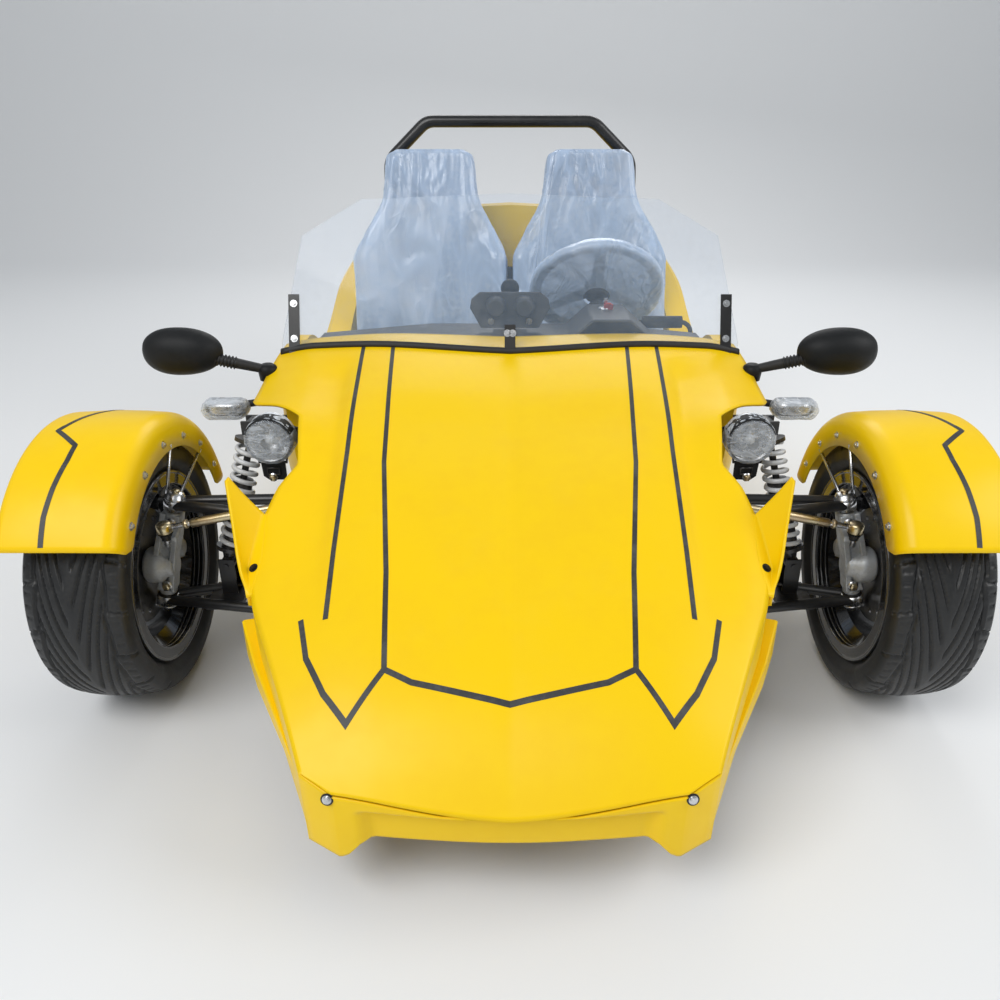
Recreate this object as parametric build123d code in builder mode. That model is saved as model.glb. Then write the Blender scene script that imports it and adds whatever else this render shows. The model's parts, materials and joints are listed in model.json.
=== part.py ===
from build123d import *
import os
from math import atan2, cos, pi, radians, sin, sqrt

# Three wheeled open two-seat road car, in millimetres.
# Origin on the ground at mid-length, +Z up, the nose points along -Y, +X is the driver's side.

os.makedirs("parts", exist_ok=True)

# Wheels and axles
wheelbase = 1800
front_axle_y = -750
rear_axle_y = front_axle_y + wheelbase
front_track = 1560
front_tyre_r = 265.5
front_tyre_w = 186
front_seat_r = 178
front_flange_r = 197
front_rim_w = 152
rear_tyre_r = 300
rear_tyre_w = 226
rear_seat_r = 190.5
rear_flange_r = 208
rear_rim_w = 178
hub_x = front_track / 2
running_gap = 0.1
seat_gap = 0.3
rim_wall = 6
spokes = 10
spindle_r = 15
hub_flange_r = 38
axle_r = 10
disc_r = 118
disc_t = 6
disc_inset = 28
front_hub_in = 14
front_hub_out = 66
rear_hub_half = 78
rear_boss_r = 34
rear_carrier_x = 120

# Kingpin, steering and suspension points, driver's side
lower_ball = (725, front_axle_y, 186)
upper_ball = (671, front_axle_y, 408)
ball_r = 19
ball_len = 22
stud_r = 7
knuckle_stand = 16
lower_inner_x = 300
lower_inner_z = 172
lower_inner_front_y = front_axle_y - 60
lower_inner_rear_y = front_axle_y + 150
upper_inner_x = 330
upper_inner_z = 412
upper_inner_front_y = front_axle_y - 88
upper_inner_rear_y = front_axle_y + 16
arm_r = 11
bush_r = 17
bush_len = 38
pin_r = 5
coil_low = (596, front_axle_y + 35, 253)
coil_top = (525, front_axle_y + 100, 536)
damper_body_r = 20
damper_rod_r = 7
damper_neck_r = 11
coil_seat_low = 28
coil_seat_top = 28
spring_r = 28
spring_wire = 8
coil_eye_r = 15
coil_eye_w = 30
rack_y = front_axle_y - 80
rack_z = 468
rack_half = 235
rack_housing_r = 21
rack_bar_r = 11
rack_foot = 36
tie_end = (665, rack_y, 394)
tie_r = 8
steer_arm_t = 12
steer_arm_drop = 26
arm_stud_gap = 5
tie_stud_r = 6

# Frame
rail_r = 16
brace_r = 12
rail_z = 150
rail_x = 400
suspension_rail_x = 262
nose_rail_x = 200
nose_rail_y = -1200
nose_rail_rise = 100
upper_rail_x = 292
upper_rail_z = 442
cowl_hoop_y = -440
cowl_hoop_x = 440
cowl_hoop_z = 552
rear_hoop_y = 520
rear_hoop_x = 330
rear_hoop_z = 560
pivot_y = 690
pivot_z = 288
pivot_tube_r = 18
swing_half = 175
plate_t = 6
tail_rail_x = 110
tail_rail_y = 1240
tail_rail_z = 640
rear_shock_low = (swing_half + coil_eye_w / 2 + seat_gap, rear_axle_y - 70, 335)
rear_shock_top = (swing_half + coil_eye_w / 2 + seat_gap, 860, 600)

tow_plate_t = 10
tow_eye_r = 12
tow_reach = 40

# Body shell: one row for each station from nose to windscreen
skin = 5
sill_z = 164
outline_back_y = -352

hood_rows = [
    # y, crown z, ridge x, ridge z, shoulder x, shoulder z, edge x, edge z
    (-1400, 206, 180, 212, 330, 196, 480, 164),
    (-1250, 330, 196, 336, 350, 308, 490, 258),
    (-1050, 420, 216, 428, 400, 396, 500, 346),
    (-850, 500, 236, 510, 410, 494, 520, 456),
    (-700, 553, 246, 562, 415, 574, 545, 546),
    (-590, 590, 254, 598, 430, 594, 552, 556),
    (-400, 634, 262, 642, 440, 632, 560, 606),
    (-340, 643, 264, 650, 440, 640, 566, 614),
]

# Windscreen
screen_t = 4
screen_rake = 22
screen_base_y = -400
screen_bow = 34

# Roll bar
bar_r = 18
bar_top_z = 1087
bar_top_y = 600
bar_foot_y = 500

# Dash: a cover behind the windscreen with a hump over the column
dash_depth = 60
dash_half = 470
hump_x = 235
hump_rows = [(-125, 600), (-45, 668), (45, 668), (125, 600)]
dash_y = -340
dash_low_z = 566
dash_side_z = 604
dash_top_z = 628

# Seats
seat_x = 245
seat_w = 456
seat_back_front = (400, 712)
seat_lean = radians(15)
seat_cushion_front = -110
seat_cushion_back = 330
seat_cushion_h = 110
seat_edge_h = 170
seat_edge_w = 70
seat_back_t = 76
bolster_t = 50

# Hand lever, gear lever and pedals
stem_x = 482
grip_z = 600
lever_y = -50
knob_centre = (0, 112, 655)
pedal_xs = (200, 260, 330)

# Lamps and mirrors
headlight_eye = (470, -740, 536)
headlight_r = 44
signal_lamp = (630, -490, 518)
signal_w = 100
signal_h = 40
mirror_head = (702, -500, 648)
mirror_foot = (534, -470, 598)

# Engine block, exhaust and chain
engine_low = (-140, 420, 178)
engine_high = (110, 655, 400)
barrel_x = -10
barrel_y = 520
barrel_w = 96
fin_pitch = 15
fin_t = 5
exhaust_x = -288
exhaust_r = 19
muffler_r = 52
chain_t = 12
chain_h = 12
drive_y = 610
drive_z = pivot_z
drive_r = 34


def mirrored(point, side):
    """The same point on the driver's side (side 1) or the passenger's side (side -1)."""
    return (point[0] * side, point[1], point[2])


def add_bar(points, radius, bend=0):
    """Round bar or tube along straight runs, with bent corners where bend is given."""
    with BuildLine() as path:
        if bend:
            FilletPolyline(*points, radius=bend)
        else:
            Polyline(*points)
    with BuildSketch(Plane(origin=path.line @ 0, z_dir=path.line % 0)) as section:
        Circle(radius)
    sweep(section.sketch, path=path.line, transition=Transition.RIGHT)


def add_rod(start, end, radius, mode=Mode.ADD):
    """Round rod from one point to another."""
    run = Vector(*end) - Vector(*start)
    with BuildSketch(Plane(origin=start, z_dir=run)) as section:
        Circle(radius)
    extrude(section.sketch, amount=run.length, mode=mode)


def add_block(low, high, mode=Mode.ADD):
    """Box between two corners."""
    size = [b - a for a, b in zip(low, high)]
    with Locations(tuple((a + b) / 2 for a, b in zip(low, high))):
        Box(*size, mode=mode)


def write(part, name):
    """Labels the finished piece and writes its file."""
    part.label = name
    export_step(part, f"parts/{name}.step")


def wheel_plane(centre):
    """Plane through the axle: local x along +X, local y up."""
    return Plane(origin=centre, x_dir=(1, 0, 0), z_dir=(0, -1, 0))


# Tyres

def tyre(centre, radius, width, seat_r, flange_r, rim_w):
    """Solid carcass with bead, sidewall bulge, shoulder and crown."""
    half = width / 2
    bead = rim_w / 2 - seat_gap
    wall_r = flange_r + (radius - flange_r) * 0.42
    shoulder_r = radius - (radius - seat_r) * 0.16
    shoulder = half * 0.9
    with BuildPart() as body:
        with BuildSketch(wheel_plane(centre)):
            with BuildLine():
                right = Polyline((bead, seat_r), (bead, flange_r + 1))
                bulge = ThreePointArc(right @ 1, (half, wall_r), (shoulder, shoulder_r))
                crown = ThreePointArc(bulge @ 1, (0, radius), (-shoulder, shoulder_r))
                other = ThreePointArc(crown @ 1, (-half, wall_r), (-bead, flange_r + 1))
                Polyline(other @ 1, (-bead, seat_r), (bead, seat_r))
            make_face()
        revolve(axis=Axis(centre, (1, 0, 0)))
    return body.part


def rim(centre, outward, seat_r, flange_r, rim_w, bore_r, hub_out, hub_in, spoke_count):
    """Cast wheel: dropped barrel, flanges, hub and tapered spokes on the outer side."""
    half = rim_w / 2
    seat = seat_r - seat_gap
    well = seat - 22
    lip = 7
    with BuildPart() as wheel:
        with BuildSketch(wheel_plane(centre)):
            with BuildLine():
                Polyline(
                    (-half - lip, flange_r),
                    (-half, flange_r),
                    (-half, seat),
                    (-half * 0.62, seat),
                    (-half * 0.4, well),
                    (half * 0.4, well),
                    (half * 0.62, seat),
                    (half, seat),
                    (half, flange_r),
                    (half + lip, flange_r),
                    (half + lip, seat - rim_wall),
                    (half * 0.74, seat - rim_wall),
                    (half * 0.5, well - rim_wall),
                    (-half * 0.5, well - rim_wall),
                    (-half * 0.74, seat - rim_wall),
                    (-half - lip, seat - rim_wall),
                    close=True,
                )
            make_face()
        revolve(axis=Axis(centre, (1, 0, 0)))
        hub_start = (centre[0] - outward * hub_in, centre[1], centre[2])
        hub_end = (centre[0] + outward * hub_out, centre[1], centre[2])
        add_rod(hub_start, hub_end, 40)
        spoke_x = centre[0] + outward * (hub_out - 30)
        spoke_plane = Plane(origin=(spoke_x, centre[1], centre[2]), x_dir=(0, 1, 0), z_dir=(1, 0, 0))
        with BuildSketch(spoke_plane):
            with PolarLocations(0, spoke_count):
                with BuildLine():
                    Polyline((30, -17), (well, -11), (well, 11), (30, 17), close=True)
                make_face()
        extrude(amount=12, both=True)
        bore_plane = Plane(origin=hub_start, z_dir=(outward, 0, 0))
        with BuildSketch(bore_plane):
            Circle(bore_r + running_gap)
        extrude(amount=hub_in + hub_out, mode=Mode.SUBTRACT)
    return wheel.part


front_hub = (hub_x, front_axle_y, front_tyre_r)
rear_hub = (0, rear_axle_y, rear_tyre_r)
sides = {"left": 1, "right": -1}

for side_name, side in sides.items():
    centre = mirrored(front_hub, side)
    front_tyre = tyre(centre, front_tyre_r, front_tyre_w, front_seat_r, front_flange_r, front_rim_w)
    write(front_tyre, f"tyre_front_{side_name}")
    front_rim = rim(
        centre, side, front_seat_r, front_flange_r, front_rim_w, spindle_r, front_hub_out, front_hub_in, spokes
    )
    write(front_rim, f"rim_front_{side_name}")

    # Drilled brake disc with its mounting bell, inside the wheel
    with BuildPart() as disc:
        disc_start = (centre[0] - side * disc_inset, centre[1], centre[2])
        face = Plane(origin=disc_start, z_dir=(side, 0, 0))
        with BuildSketch(face):
            Circle(disc_r)
            Circle(spindle_r + running_gap, mode=Mode.SUBTRACT)
            with PolarLocations(disc_r - 20, 18):
                Circle(5, mode=Mode.SUBTRACT)
        extrude(amount=disc_t)
        with BuildSketch(face.offset(disc_t)):
            Circle(44)
            Circle(spindle_r + running_gap, mode=Mode.SUBTRACT)
        extrude(amount=disc_inset - front_hub_in - disc_t)
    write(disc.part, f"disc_front_{side_name}")

write(tyre(rear_hub, rear_tyre_r, rear_tyre_w, rear_seat_r, rear_flange_r, rear_rim_w), "tyre_rear")
rear_rim = rim(
    rear_hub, 1, rear_seat_r, rear_flange_r, rear_rim_w, axle_r, rear_hub_half, rear_hub_half, spokes
)
write(rear_rim, "rim_rear")

# Rear sprocket and brake disc, one on each end of the hub
sprocket_r = 96
sprocket_t = 8
with BuildPart() as sprocket:
    with BuildSketch(Plane.YZ.offset(rear_hub_half)):
        with Locations((rear_axle_y, rear_tyre_r)):
            Circle(rear_boss_r)
            Circle(axle_r + running_gap, mode=Mode.SUBTRACT)
    extrude(amount=rear_carrier_x - rear_hub_half)
    with BuildSketch(Plane.YZ.offset(rear_carrier_x)):
        with Locations((rear_axle_y, rear_tyre_r)):
            Circle(sprocket_r)
            Circle(axle_r + running_gap, mode=Mode.SUBTRACT)
            with PolarLocations(64, 6):
                Circle(15, mode=Mode.SUBTRACT)
    extrude(amount=sprocket_t)
write(sprocket.part, "sprocket")

with BuildPart() as rear_disc:
    with BuildSketch(Plane.YZ.offset(-rear_hub_half)):
        with Locations((rear_axle_y, rear_tyre_r)):
            Circle(rear_boss_r)
            Circle(axle_r + running_gap, mode=Mode.SUBTRACT)
    extrude(amount=rear_hub_half - rear_carrier_x)
    with BuildSketch(Plane.YZ.offset(-rear_carrier_x)):
        with Locations((rear_axle_y, rear_tyre_r)):
            Circle(disc_r - 8)
            Circle(axle_r + running_gap, mode=Mode.SUBTRACT)
            with PolarLocations(disc_r - 28, 18):
                Circle(5, mode=Mode.SUBTRACT)
    extrude(amount=-disc_t)
write(rear_disc.part, "disc_rear")


# Front uprights, calipers and fenders, which steer

kingpin_run = Vector(*upper_ball) - Vector(*lower_ball)
kingpin_length = kingpin_run.length

for side_name, side in sides.items():
    low = Vector(*mirrored(lower_ball, side))
    high = Vector(*mirrored(upper_ball, side))
    axis_dir = (high - low).normalized()
    knuckle_low = low + axis_dir * knuckle_stand
    knuckle_high = high - axis_dir * knuckle_stand
    hub = Vector(*mirrored(front_hub, side))

    with BuildPart() as knuckle:
        # Cast upright, its profile seen from the front
        with BuildSketch(Plane(origin=(0, front_axle_y, 0), x_dir=(1, 0, 0), z_dir=(0, -1, 0))):
            with BuildLine():
                upright = [
                    (knuckle_low.X - side * 20, knuckle_low.Z + 4),
                    (knuckle_low.X + side * 16, knuckle_low.Z + 13),
                    (hub.X - side * 52, hub.Z - 34),
                    (hub.X - side * 52, hub.Z + 34),
                    (knuckle_high.X + side * 22, knuckle_high.Z + 2),
                    (knuckle_high.X - side * 16, knuckle_high.Z - 8),
                    (hub.X - side * 96, hub.Z + 20),
                ]
                Polyline(*upright, close=True)
            make_face()
        extrude(amount=19, both=True)
        add_rod(knuckle_low, knuckle_low + axis_dir * 20, 16)
        add_rod(knuckle_high, knuckle_high - axis_dir * 20, 15)
        add_rod(low - axis_dir * 6, knuckle_low + axis_dir * 2, stud_r)
        add_rod(high + axis_dir * 6, knuckle_high - axis_dir * 2, stud_r)
        add_rod(hub - Vector(side * 84, 0, 0), hub - Vector(side * (disc_inset + 2), 0, 0), hub_flange_r)
        add_rod(hub - Vector(side * (disc_inset + 2), 0, 0), hub + Vector(side * 74, 0, 0), spindle_r)
        # Steering arm, forward to just behind the tie rod's stud
        arm_top = tie_end[2] - steer_arm_drop
        with BuildSketch(Plane.XY.offset(arm_top - steer_arm_t)):
            with BuildLine():
                Polyline(
                    (side * (upper_ball[0] + 26), front_axle_y),
                    (side * (tie_end[0] + 14), rack_y + tie_stud_r + arm_stud_gap),
                    (side * (tie_end[0] - 14), rack_y + tie_stud_r + arm_stud_gap),
                    (side * (upper_ball[0] - 8), front_axle_y),
                    close=True,
                )
            make_face()
        extrude(amount=steer_arm_t)
    write(knuckle.part, f"knuckle_{side_name}")

    # Two-piston caliper straddling the disc behind the axle
    with BuildPart() as caliper:
        disc_x = hub.X - side * disc_inset
        inner_face = disc_x - side * 26
        inner_plane = Plane(
            origin=(inner_face, front_axle_y, front_tyre_r), x_dir=(0, 1, 0), z_dir=(side, 0, 0)
        )
        with BuildSketch(inner_plane):
            with BuildLine():
                start = radians(-22)
                end = radians(32)
                outer_r = disc_r + 16
                inner_r = disc_r - 44
                mid = (start + end) / 2
                a = (outer_r * cos(start), outer_r * sin(start) * side)
                b = (outer_r * cos(mid), outer_r * sin(mid) * side)
                c = (outer_r * cos(end), outer_r * sin(end) * side)
                d = (inner_r * cos(end), inner_r * sin(end) * side)
                e = (inner_r * cos(mid), inner_r * sin(mid) * side)
                f = (inner_r * cos(start), inner_r * sin(start) * side)
                ThreePointArc(a, b, c)
                Line(c, d)
                ThreePointArc(d, e, f)
                Line(f, a)
            make_face()
        extrude(amount=56)
        slot = Plane(origin=(disc_x - side * 2, front_axle_y, front_tyre_r), z_dir=(side, 0, 0))
        with BuildSketch(slot):
            Circle(disc_r + 4)
        extrude(amount=disc_t + 4, mode=Mode.SUBTRACT)
        # Carrier lug down to the upright
        lug_z = front_tyre_r + 6
        add_block(
            (min(inner_face, inner_face + side * 18), front_axle_y + hub_flange_r + seat_gap, lug_z - 16),
            (max(inner_face, inner_face + side * 18), front_axle_y + inner_r + 4, lug_z + 16),
        )
    write(caliper.part, f"caliper_{side_name}")

    # Cycle fender: shell over the tyre with an inner ring flange and stays to the upright
    fender_r = 320
    fender_wall = 4
    fender_in = 108
    fender_out = 105
    flange_r = 247
    start_deg = 34
    sweep_deg = 131
    with BuildPart() as fender:
        start_a = radians(start_deg)
        section_plane = Plane(
            origin=hub,
            x_dir=(side, 0, 0),
            z_dir=(0, -sin(start_a) * side, -cos(start_a) * side),
        )
        with BuildSketch(section_plane):
            with BuildLine():
                Polyline(
                    (-fender_in, flange_r),
                    (-fender_in, fender_r - 26),
                    (-fender_in + 26, fender_r - 3),
                    (0, fender_r),
                    (fender_out - 14, fender_r - 5),
                    (fender_out, fender_r - 16),
                    (fender_out - fender_wall, fender_r - 18),
                    (fender_out - 17, fender_r - 9),
                    (0, fender_r - fender_wall),
                    (-fender_in + 28, fender_r - 7),
                    (-fender_in + fender_wall, fender_r - 28),
                    (-fender_in + fender_wall, flange_r),
                    close=True,
                )
            make_face()
        revolve(axis=Axis(tuple(hub), (-1, 0, 0)), revolution_arc=sweep_deg)
        for stay_deg in (60, 120):
            angle = radians(stay_deg)
            reach = flange_r + 10
            rim_point = hub + Vector(-side * (fender_in - 2), -reach * cos(angle), reach * sin(angle))
            root_point = hub + Vector(-side * 78, -25 if angle < pi / 2 else 25, 92)
            add_rod(root_point, rim_point, 5)
        stay_pad = hub + Vector(-side * 78, 0, 92)
        add_block(
            (stay_pad.X - 8, front_axle_y + 19 + seat_gap, stay_pad.Z - 10),
            (stay_pad.X + 8, front_axle_y + 31, stay_pad.Z + 10),
        )
        add_block(
            (stay_pad.X - 8, front_axle_y - 31, stay_pad.Z - 10),
            (stay_pad.X + 8, front_axle_y - 19 - seat_gap, stay_pad.Z + 10),
        )
    write(fender.part, f"fender_{side_name}")


# Suspension arms: outer joint housings on the kingpin, inner bushes on the frame

def arm_pair(name, ball, inner_x, inner_z, front_y, rear_y, outward_end):
    """Left and right arms of one level, each two tubes, a joint housing and two bushes."""
    with BuildPart() as arms:
        for side in (1, -1):
            joint = Vector(*mirrored(ball, side))
            lean = (Vector(*mirrored(upper_ball, side)) - Vector(*mirrored(lower_ball, side))).normalized()
            middle = joint + lean * outward_end
            inboard = Vector(-side, 0, 0)
            for bush_y, spread in ((front_y, -9), (rear_y, 9)):
                bush = Vector(side * inner_x, bush_y, inner_z)
                start = middle + Vector(0, spread, 0)
                add_rod(start, bush, arm_r)
                add_rod(bush - Vector(0, bush_len / 2, 0), bush + Vector(0, bush_len / 2, 0), bush_r)
            add_rod(middle - lean * (ball_len / 2), middle + lean * (ball_len / 2), ball_r)
            # Socket for the upright's stud
            add_rod(joint - lean * 40, joint + lean * 40, stud_r + running_gap, mode=Mode.SUBTRACT)
            # Bolt holes through the bushes
            for bush_y in (front_y, rear_y):
                bush = Vector(side * inner_x, bush_y, inner_z)
                half = Vector(0, bush_len, 0)
                add_rod(bush - half, bush + half, pin_r + seat_gap, mode=Mode.SUBTRACT)
            if name == "lower_arms":
                # Gusset and the clevis that takes the damper's lower eye
                plate_low = joint.Z - 6
                plate_x = sorted((side * (coil_low[0] - 34), side * (coil_low[0] + 40)))
                add_block(
                    (plate_x[0], front_axle_y - 30, plate_low - 6),
                    (plate_x[1], coil_low[1] + 26, plate_low + 6),
                )
                for face_y in (-1, 1):
                    inner_y = face_y * (coil_eye_w / 2 + seat_gap)
                    ys = sorted((coil_low[1] + inner_y, coil_low[1] + inner_y + face_y * 5))
                    xs = sorted((side * (coil_low[0] - 16), side * (coil_low[0] + 16)))
                    add_block((xs[0], ys[0], plate_low), (xs[1], ys[1], coil_low[2] + 14))
                pin = Vector(*mirrored(coil_low, side))
                reach = Vector(0, coil_eye_w / 2 + 8, 0)
                add_rod(pin - reach, pin + reach, pin_r)
    write(arms.part, name)


arm_pair(
    "lower_arms", lower_ball, lower_inner_x, lower_inner_z,
    lower_inner_front_y, lower_inner_rear_y, 0,
)
arm_pair(
    "upper_arms", upper_ball, upper_inner_x, upper_inner_z,
    upper_inner_front_y, upper_inner_rear_y, 0,
)


# Dampers and springs, one pair in front and one pair behind

def damper_pair(name, low_end, high_end, pin_low_y):
    """Two dampers with their eyes and spring seats."""
    with BuildPart() as dampers:
        for side in (1, -1):
            low = Vector(*mirrored(low_end, side))
            high = Vector(*mirrored(high_end, side))
            run = (high - low).normalized()
            length = (high - low).length
            add_rod(low + run * 8, low + run * 30, damper_neck_r)
            add_rod(low + run * coil_seat_low, low + run * (length * 0.62), damper_body_r)
            add_rod(low + run * (length * 0.6), high - run * 8, damper_rod_r)
            add_rod(low + run * coil_seat_low, low + run * (coil_seat_low + 8), spring_r + 3)
            add_rod(high - run * (coil_seat_top + 8), high - run * coil_seat_top, spring_r + 3)
            across = Vector(0, coil_eye_w / 2, 0) if pin_low_y else Vector(coil_eye_w / 2, 0, 0)
            for end in (low, high):
                add_rod(end - across, end + across, coil_eye_r)
            for end in (low, high):
                add_rod(end - across * 2, end + across * 2, pin_r + seat_gap, mode=Mode.SUBTRACT)
    write(dampers.part, name)


def spring_pair(name, low_end, high_end):
    """Two coil springs, each a sleeve with a groove between the turns."""
    with BuildPart() as springs:
        for side in (1, -1):
            low = Vector(*mirrored(low_end, side))
            high = Vector(*mirrored(high_end, side))
            run = (high - low).normalized()
            length = (high - low).length
            start = low + run * (coil_seat_low + 8 + seat_gap)
            end = high - run * (coil_seat_top + 8 + seat_gap)
            height = (end - start).length
            plane = Plane(origin=start, z_dir=run)
            turns = 8
            pitch = height / turns
            radial = Plane(origin=start, x_dir=plane.x_dir, z_dir=-plane.y_dir)
            with BuildSketch(radial) as profile:
                with BuildLine():
                    points = [(spring_r - spring_wire + 2, 0)]
                    points.append((spring_r - 2, 0))
                    for turn in range(turns):
                        base = turn * pitch
                        points.append((spring_r, base + pitch * 0.18))
                        points.append((spring_r, base + pitch * 0.5))
                        if turn < turns - 1:
                            points.append((spring_r - 5, base + pitch * 0.68))
                            points.append((spring_r - 5, base + pitch))
                    points.append((spring_r - 2, height))
                    points.append((spring_r - spring_wire + 2, height))
                    Polyline(*points, close=True)
                make_face()
            revolve(profile.sketch, axis=Axis(tuple(start), tuple(run)))
    write(springs.part, name)


damper_pair("front_dampers", coil_low, coil_top, True)
spring_pair("front_springs", coil_low, coil_top)
damper_pair("rear_dampers", rear_shock_low, rear_shock_top, False)
spring_pair("rear_springs", rear_shock_low, rear_shock_top)


# Steering: rack housing, rack bar with tie rods, column, wheel

# Steering wheel centre and the direction its column runs down and forward
wheel_centre = (236, 60, 663)
wheel_tilt = 52
wheel_out_r = 180
wheel_grip_r = 15
shaft_r = 11
column_r = 24
column_end = 330
column_dir = Vector(0, -sin(radians(wheel_tilt)), -cos(radians(wheel_tilt)))
pinion_x = 150
link_r = 8

with BuildPart() as rack_housing:
    add_rod((-rack_half, rack_y, rack_z), (rack_half, rack_y, rack_z), rack_housing_r)
    for side in (1, -1):
        xs = sorted((side * (rack_half - 60), side * (rack_half - 20)))
        add_block((xs[0], rack_y - 30, rack_z - rack_foot), (xs[1], rack_y + 30, rack_z - rack_housing_r + 4))
    # Pinion tower and the shaft back to the column's lower end
    pinion_top = (pinion_x, rack_y + 26, rack_z + 26)
    add_rod((pinion_x, rack_y - 8, rack_z - 22), pinion_top, 20)
    joint = Vector(*wheel_centre) + column_dir * (column_end + seat_gap)
    add_rod(joint, joint + column_dir * 12, column_r)
    add_rod(joint + column_dir * 8, pinion_top, link_r)
    bar_bore = (rack_half + 2, rack_y, rack_z)
    add_rod((-bar_bore[0], rack_y, rack_z), bar_bore, rack_bar_r + running_gap, mode=Mode.SUBTRACT)
write(rack_housing.part, "steering_rack")

with BuildPart() as tie_rods:
    bar_half = rack_half + 66
    add_rod((-bar_half, rack_y, rack_z), (bar_half, rack_y, rack_z), rack_bar_r)
    for side in (1, -1):
        inner = (side * (bar_half - 8), rack_y, rack_z)
        outer = mirrored(tie_end, side)
        add_rod(inner, outer, tie_r)
        end = Vector(*outer)
        add_rod(end - Vector(0, 0, 11), end + Vector(0, 0, 11), 15)
        add_rod(end - Vector(0, 0, steer_arm_drop + steer_arm_t), end, tie_stud_r)
write(tie_rods.part, "tie_rods")

steering_plane = Plane(origin=wheel_centre, x_dir=(1, 0, 0), z_dir=-column_dir)
with BuildPart() as steering_wheel:
    with BuildSketch(Plane(origin=wheel_centre, x_dir=(1, 0, 0), z_dir=steering_plane.y_dir)):
        with Locations((wheel_out_r - wheel_grip_r, 0)):
            Circle(wheel_grip_r)
    revolve(axis=Axis(wheel_centre, tuple(-column_dir)))
    with BuildSketch(steering_plane.offset(-3)):
        Circle(38)
        with PolarLocations(0, 3, start_angle=30):
            with BuildLine():
                spoke_end = wheel_out_r - wheel_grip_r
                Polyline((20, -20), (spoke_end, -13), (spoke_end, 13), (20, 20), close=True)
            make_face()
    extrude(amount=6)
    centre = Vector(*wheel_centre)
    add_rod(centre, centre + column_dir * 46, 30)
    add_rod(centre + column_dir * 40, centre + column_dir * (column_end - 8), shaft_r)
write(steering_wheel.part, "steering_wheel")

with BuildPart() as column:
    centre = Vector(*wheel_centre)
    add_rod(centre + column_dir * 56, centre + column_dir * column_end, column_r)
    bore_end = centre + column_dir * (column_end + 2)
    add_rod(centre + column_dir * 50, bore_end, shaft_r + running_gap, mode=Mode.SUBTRACT)
write(column.part, "steering_column")



# Roll bar: bent hoop on two foot plates

with BuildPart() as roll_bar:
    foot_top = rail_z + 22 + seat_gap
    add_bar(
        [
            (rail_x, bar_foot_y, foot_top + 5),
            (381, bar_top_y - 6, bar_top_z - 130),
            (260, bar_top_y, bar_top_z - bar_r),
            (-260, bar_top_y, bar_top_z - bar_r),
            (-381, bar_top_y - 6, bar_top_z - 130),
            (-rail_x, bar_foot_y, foot_top + 5),
        ],
        bar_r,
        bend=60,
    )
    for side in (1, -1):
        xs = sorted((side * (rail_x - 34), side * (rail_x + 34)))
        add_block((xs[0], bar_foot_y - 36, foot_top), (xs[1], bar_foot_y + 36, foot_top + 8))
write(roll_bar.part, "roll_bar")

# Floor pan with a raised toe board
floor_t = 3
floor_z = rail_z + rail_r + seat_gap
toe_y = front_axle_y + 196
with BuildPart() as floor_pan:
    with BuildSketch(Plane.XY.offset(floor_z)):
        with BuildLine():
            Polyline(
                (-suspension_rail_x, toe_y),
                (suspension_rail_x, toe_y),
                (rail_x - 22, cowl_hoop_y + 20),
                (rail_x - 22, 402),
                (-rail_x + 22, 402),
                (-rail_x + 22, cowl_hoop_y + 20),
                close=True,
            )
        make_face()
    extrude(amount=floor_t)
    add_block((-suspension_rail_x, toe_y, floor_z), (suspension_rail_x, toe_y + floor_t, floor_z + 240))
write(floor_pan.part, "floor_pan")


# Hood and valance, both from the same rows of sections

def hood_half(row):
    """Half of a hood section, centre to edge."""
    y, crown_z, ridge_x, ridge_z, shoulder_x, shoulder_z, edge_x, edge_z = row
    return [(0, crown_z), (ridge_x, ridge_z), (shoulder_x, shoulder_z), (edge_x, edge_z)]


def below_hood_solid():
    """Everything below the hood's outer surface, down to a flat floor."""
    with BuildPart() as solid:
        for row in hood_rows:
            upper = hood_half(row)
            left_upper = [(-x, z) for x, z in reversed(upper[1:])]
            edge_x = upper[-1][0]
            with BuildSketch(Plane.XZ.offset(-row[0])):
                with BuildLine():
                    Polyline(*left_upper, *upper, (edge_x, 60), (-edge_x, 60), close=True)
                make_face()
        loft()
    return solid.part


def nose_outline(inset):
    """Closed plan outline of the nose and hood, moved inwards by this much."""
    right = [
        (0, -1388),
        (256, -1362),
        (306, -1336),
        (432, -1070),
        (455, -1000),
        (452, -872),
        (416, -704),
        (540, -590),
        (518, outline_back_y),
    ]
    left = [(-x, y) for x, y in reversed(right[1:])]
    with BuildSketch() as plan:
        with BuildLine():
            Polyline(*right, *left, close=True)
        make_face()
        if inset:
            offset(amount=-inset)
    return plan.sketch


hood_plan = nose_outline(0)
below_skin = below_hood_solid()
below_hood = Pos(0, 0, seat_gap) * below_skin
with BuildPart() as hood:
    add(below_skin)
    add(Pos(0, 0, -skin) * below_skin, mode=Mode.SUBTRACT)
    add_block((-700, -1500, 0), (700, 0, 80), mode=Mode.SUBTRACT)
    extrude(hood_plan, amount=900, mode=Mode.INTERSECT)
write(hood.part, "hood")

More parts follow.
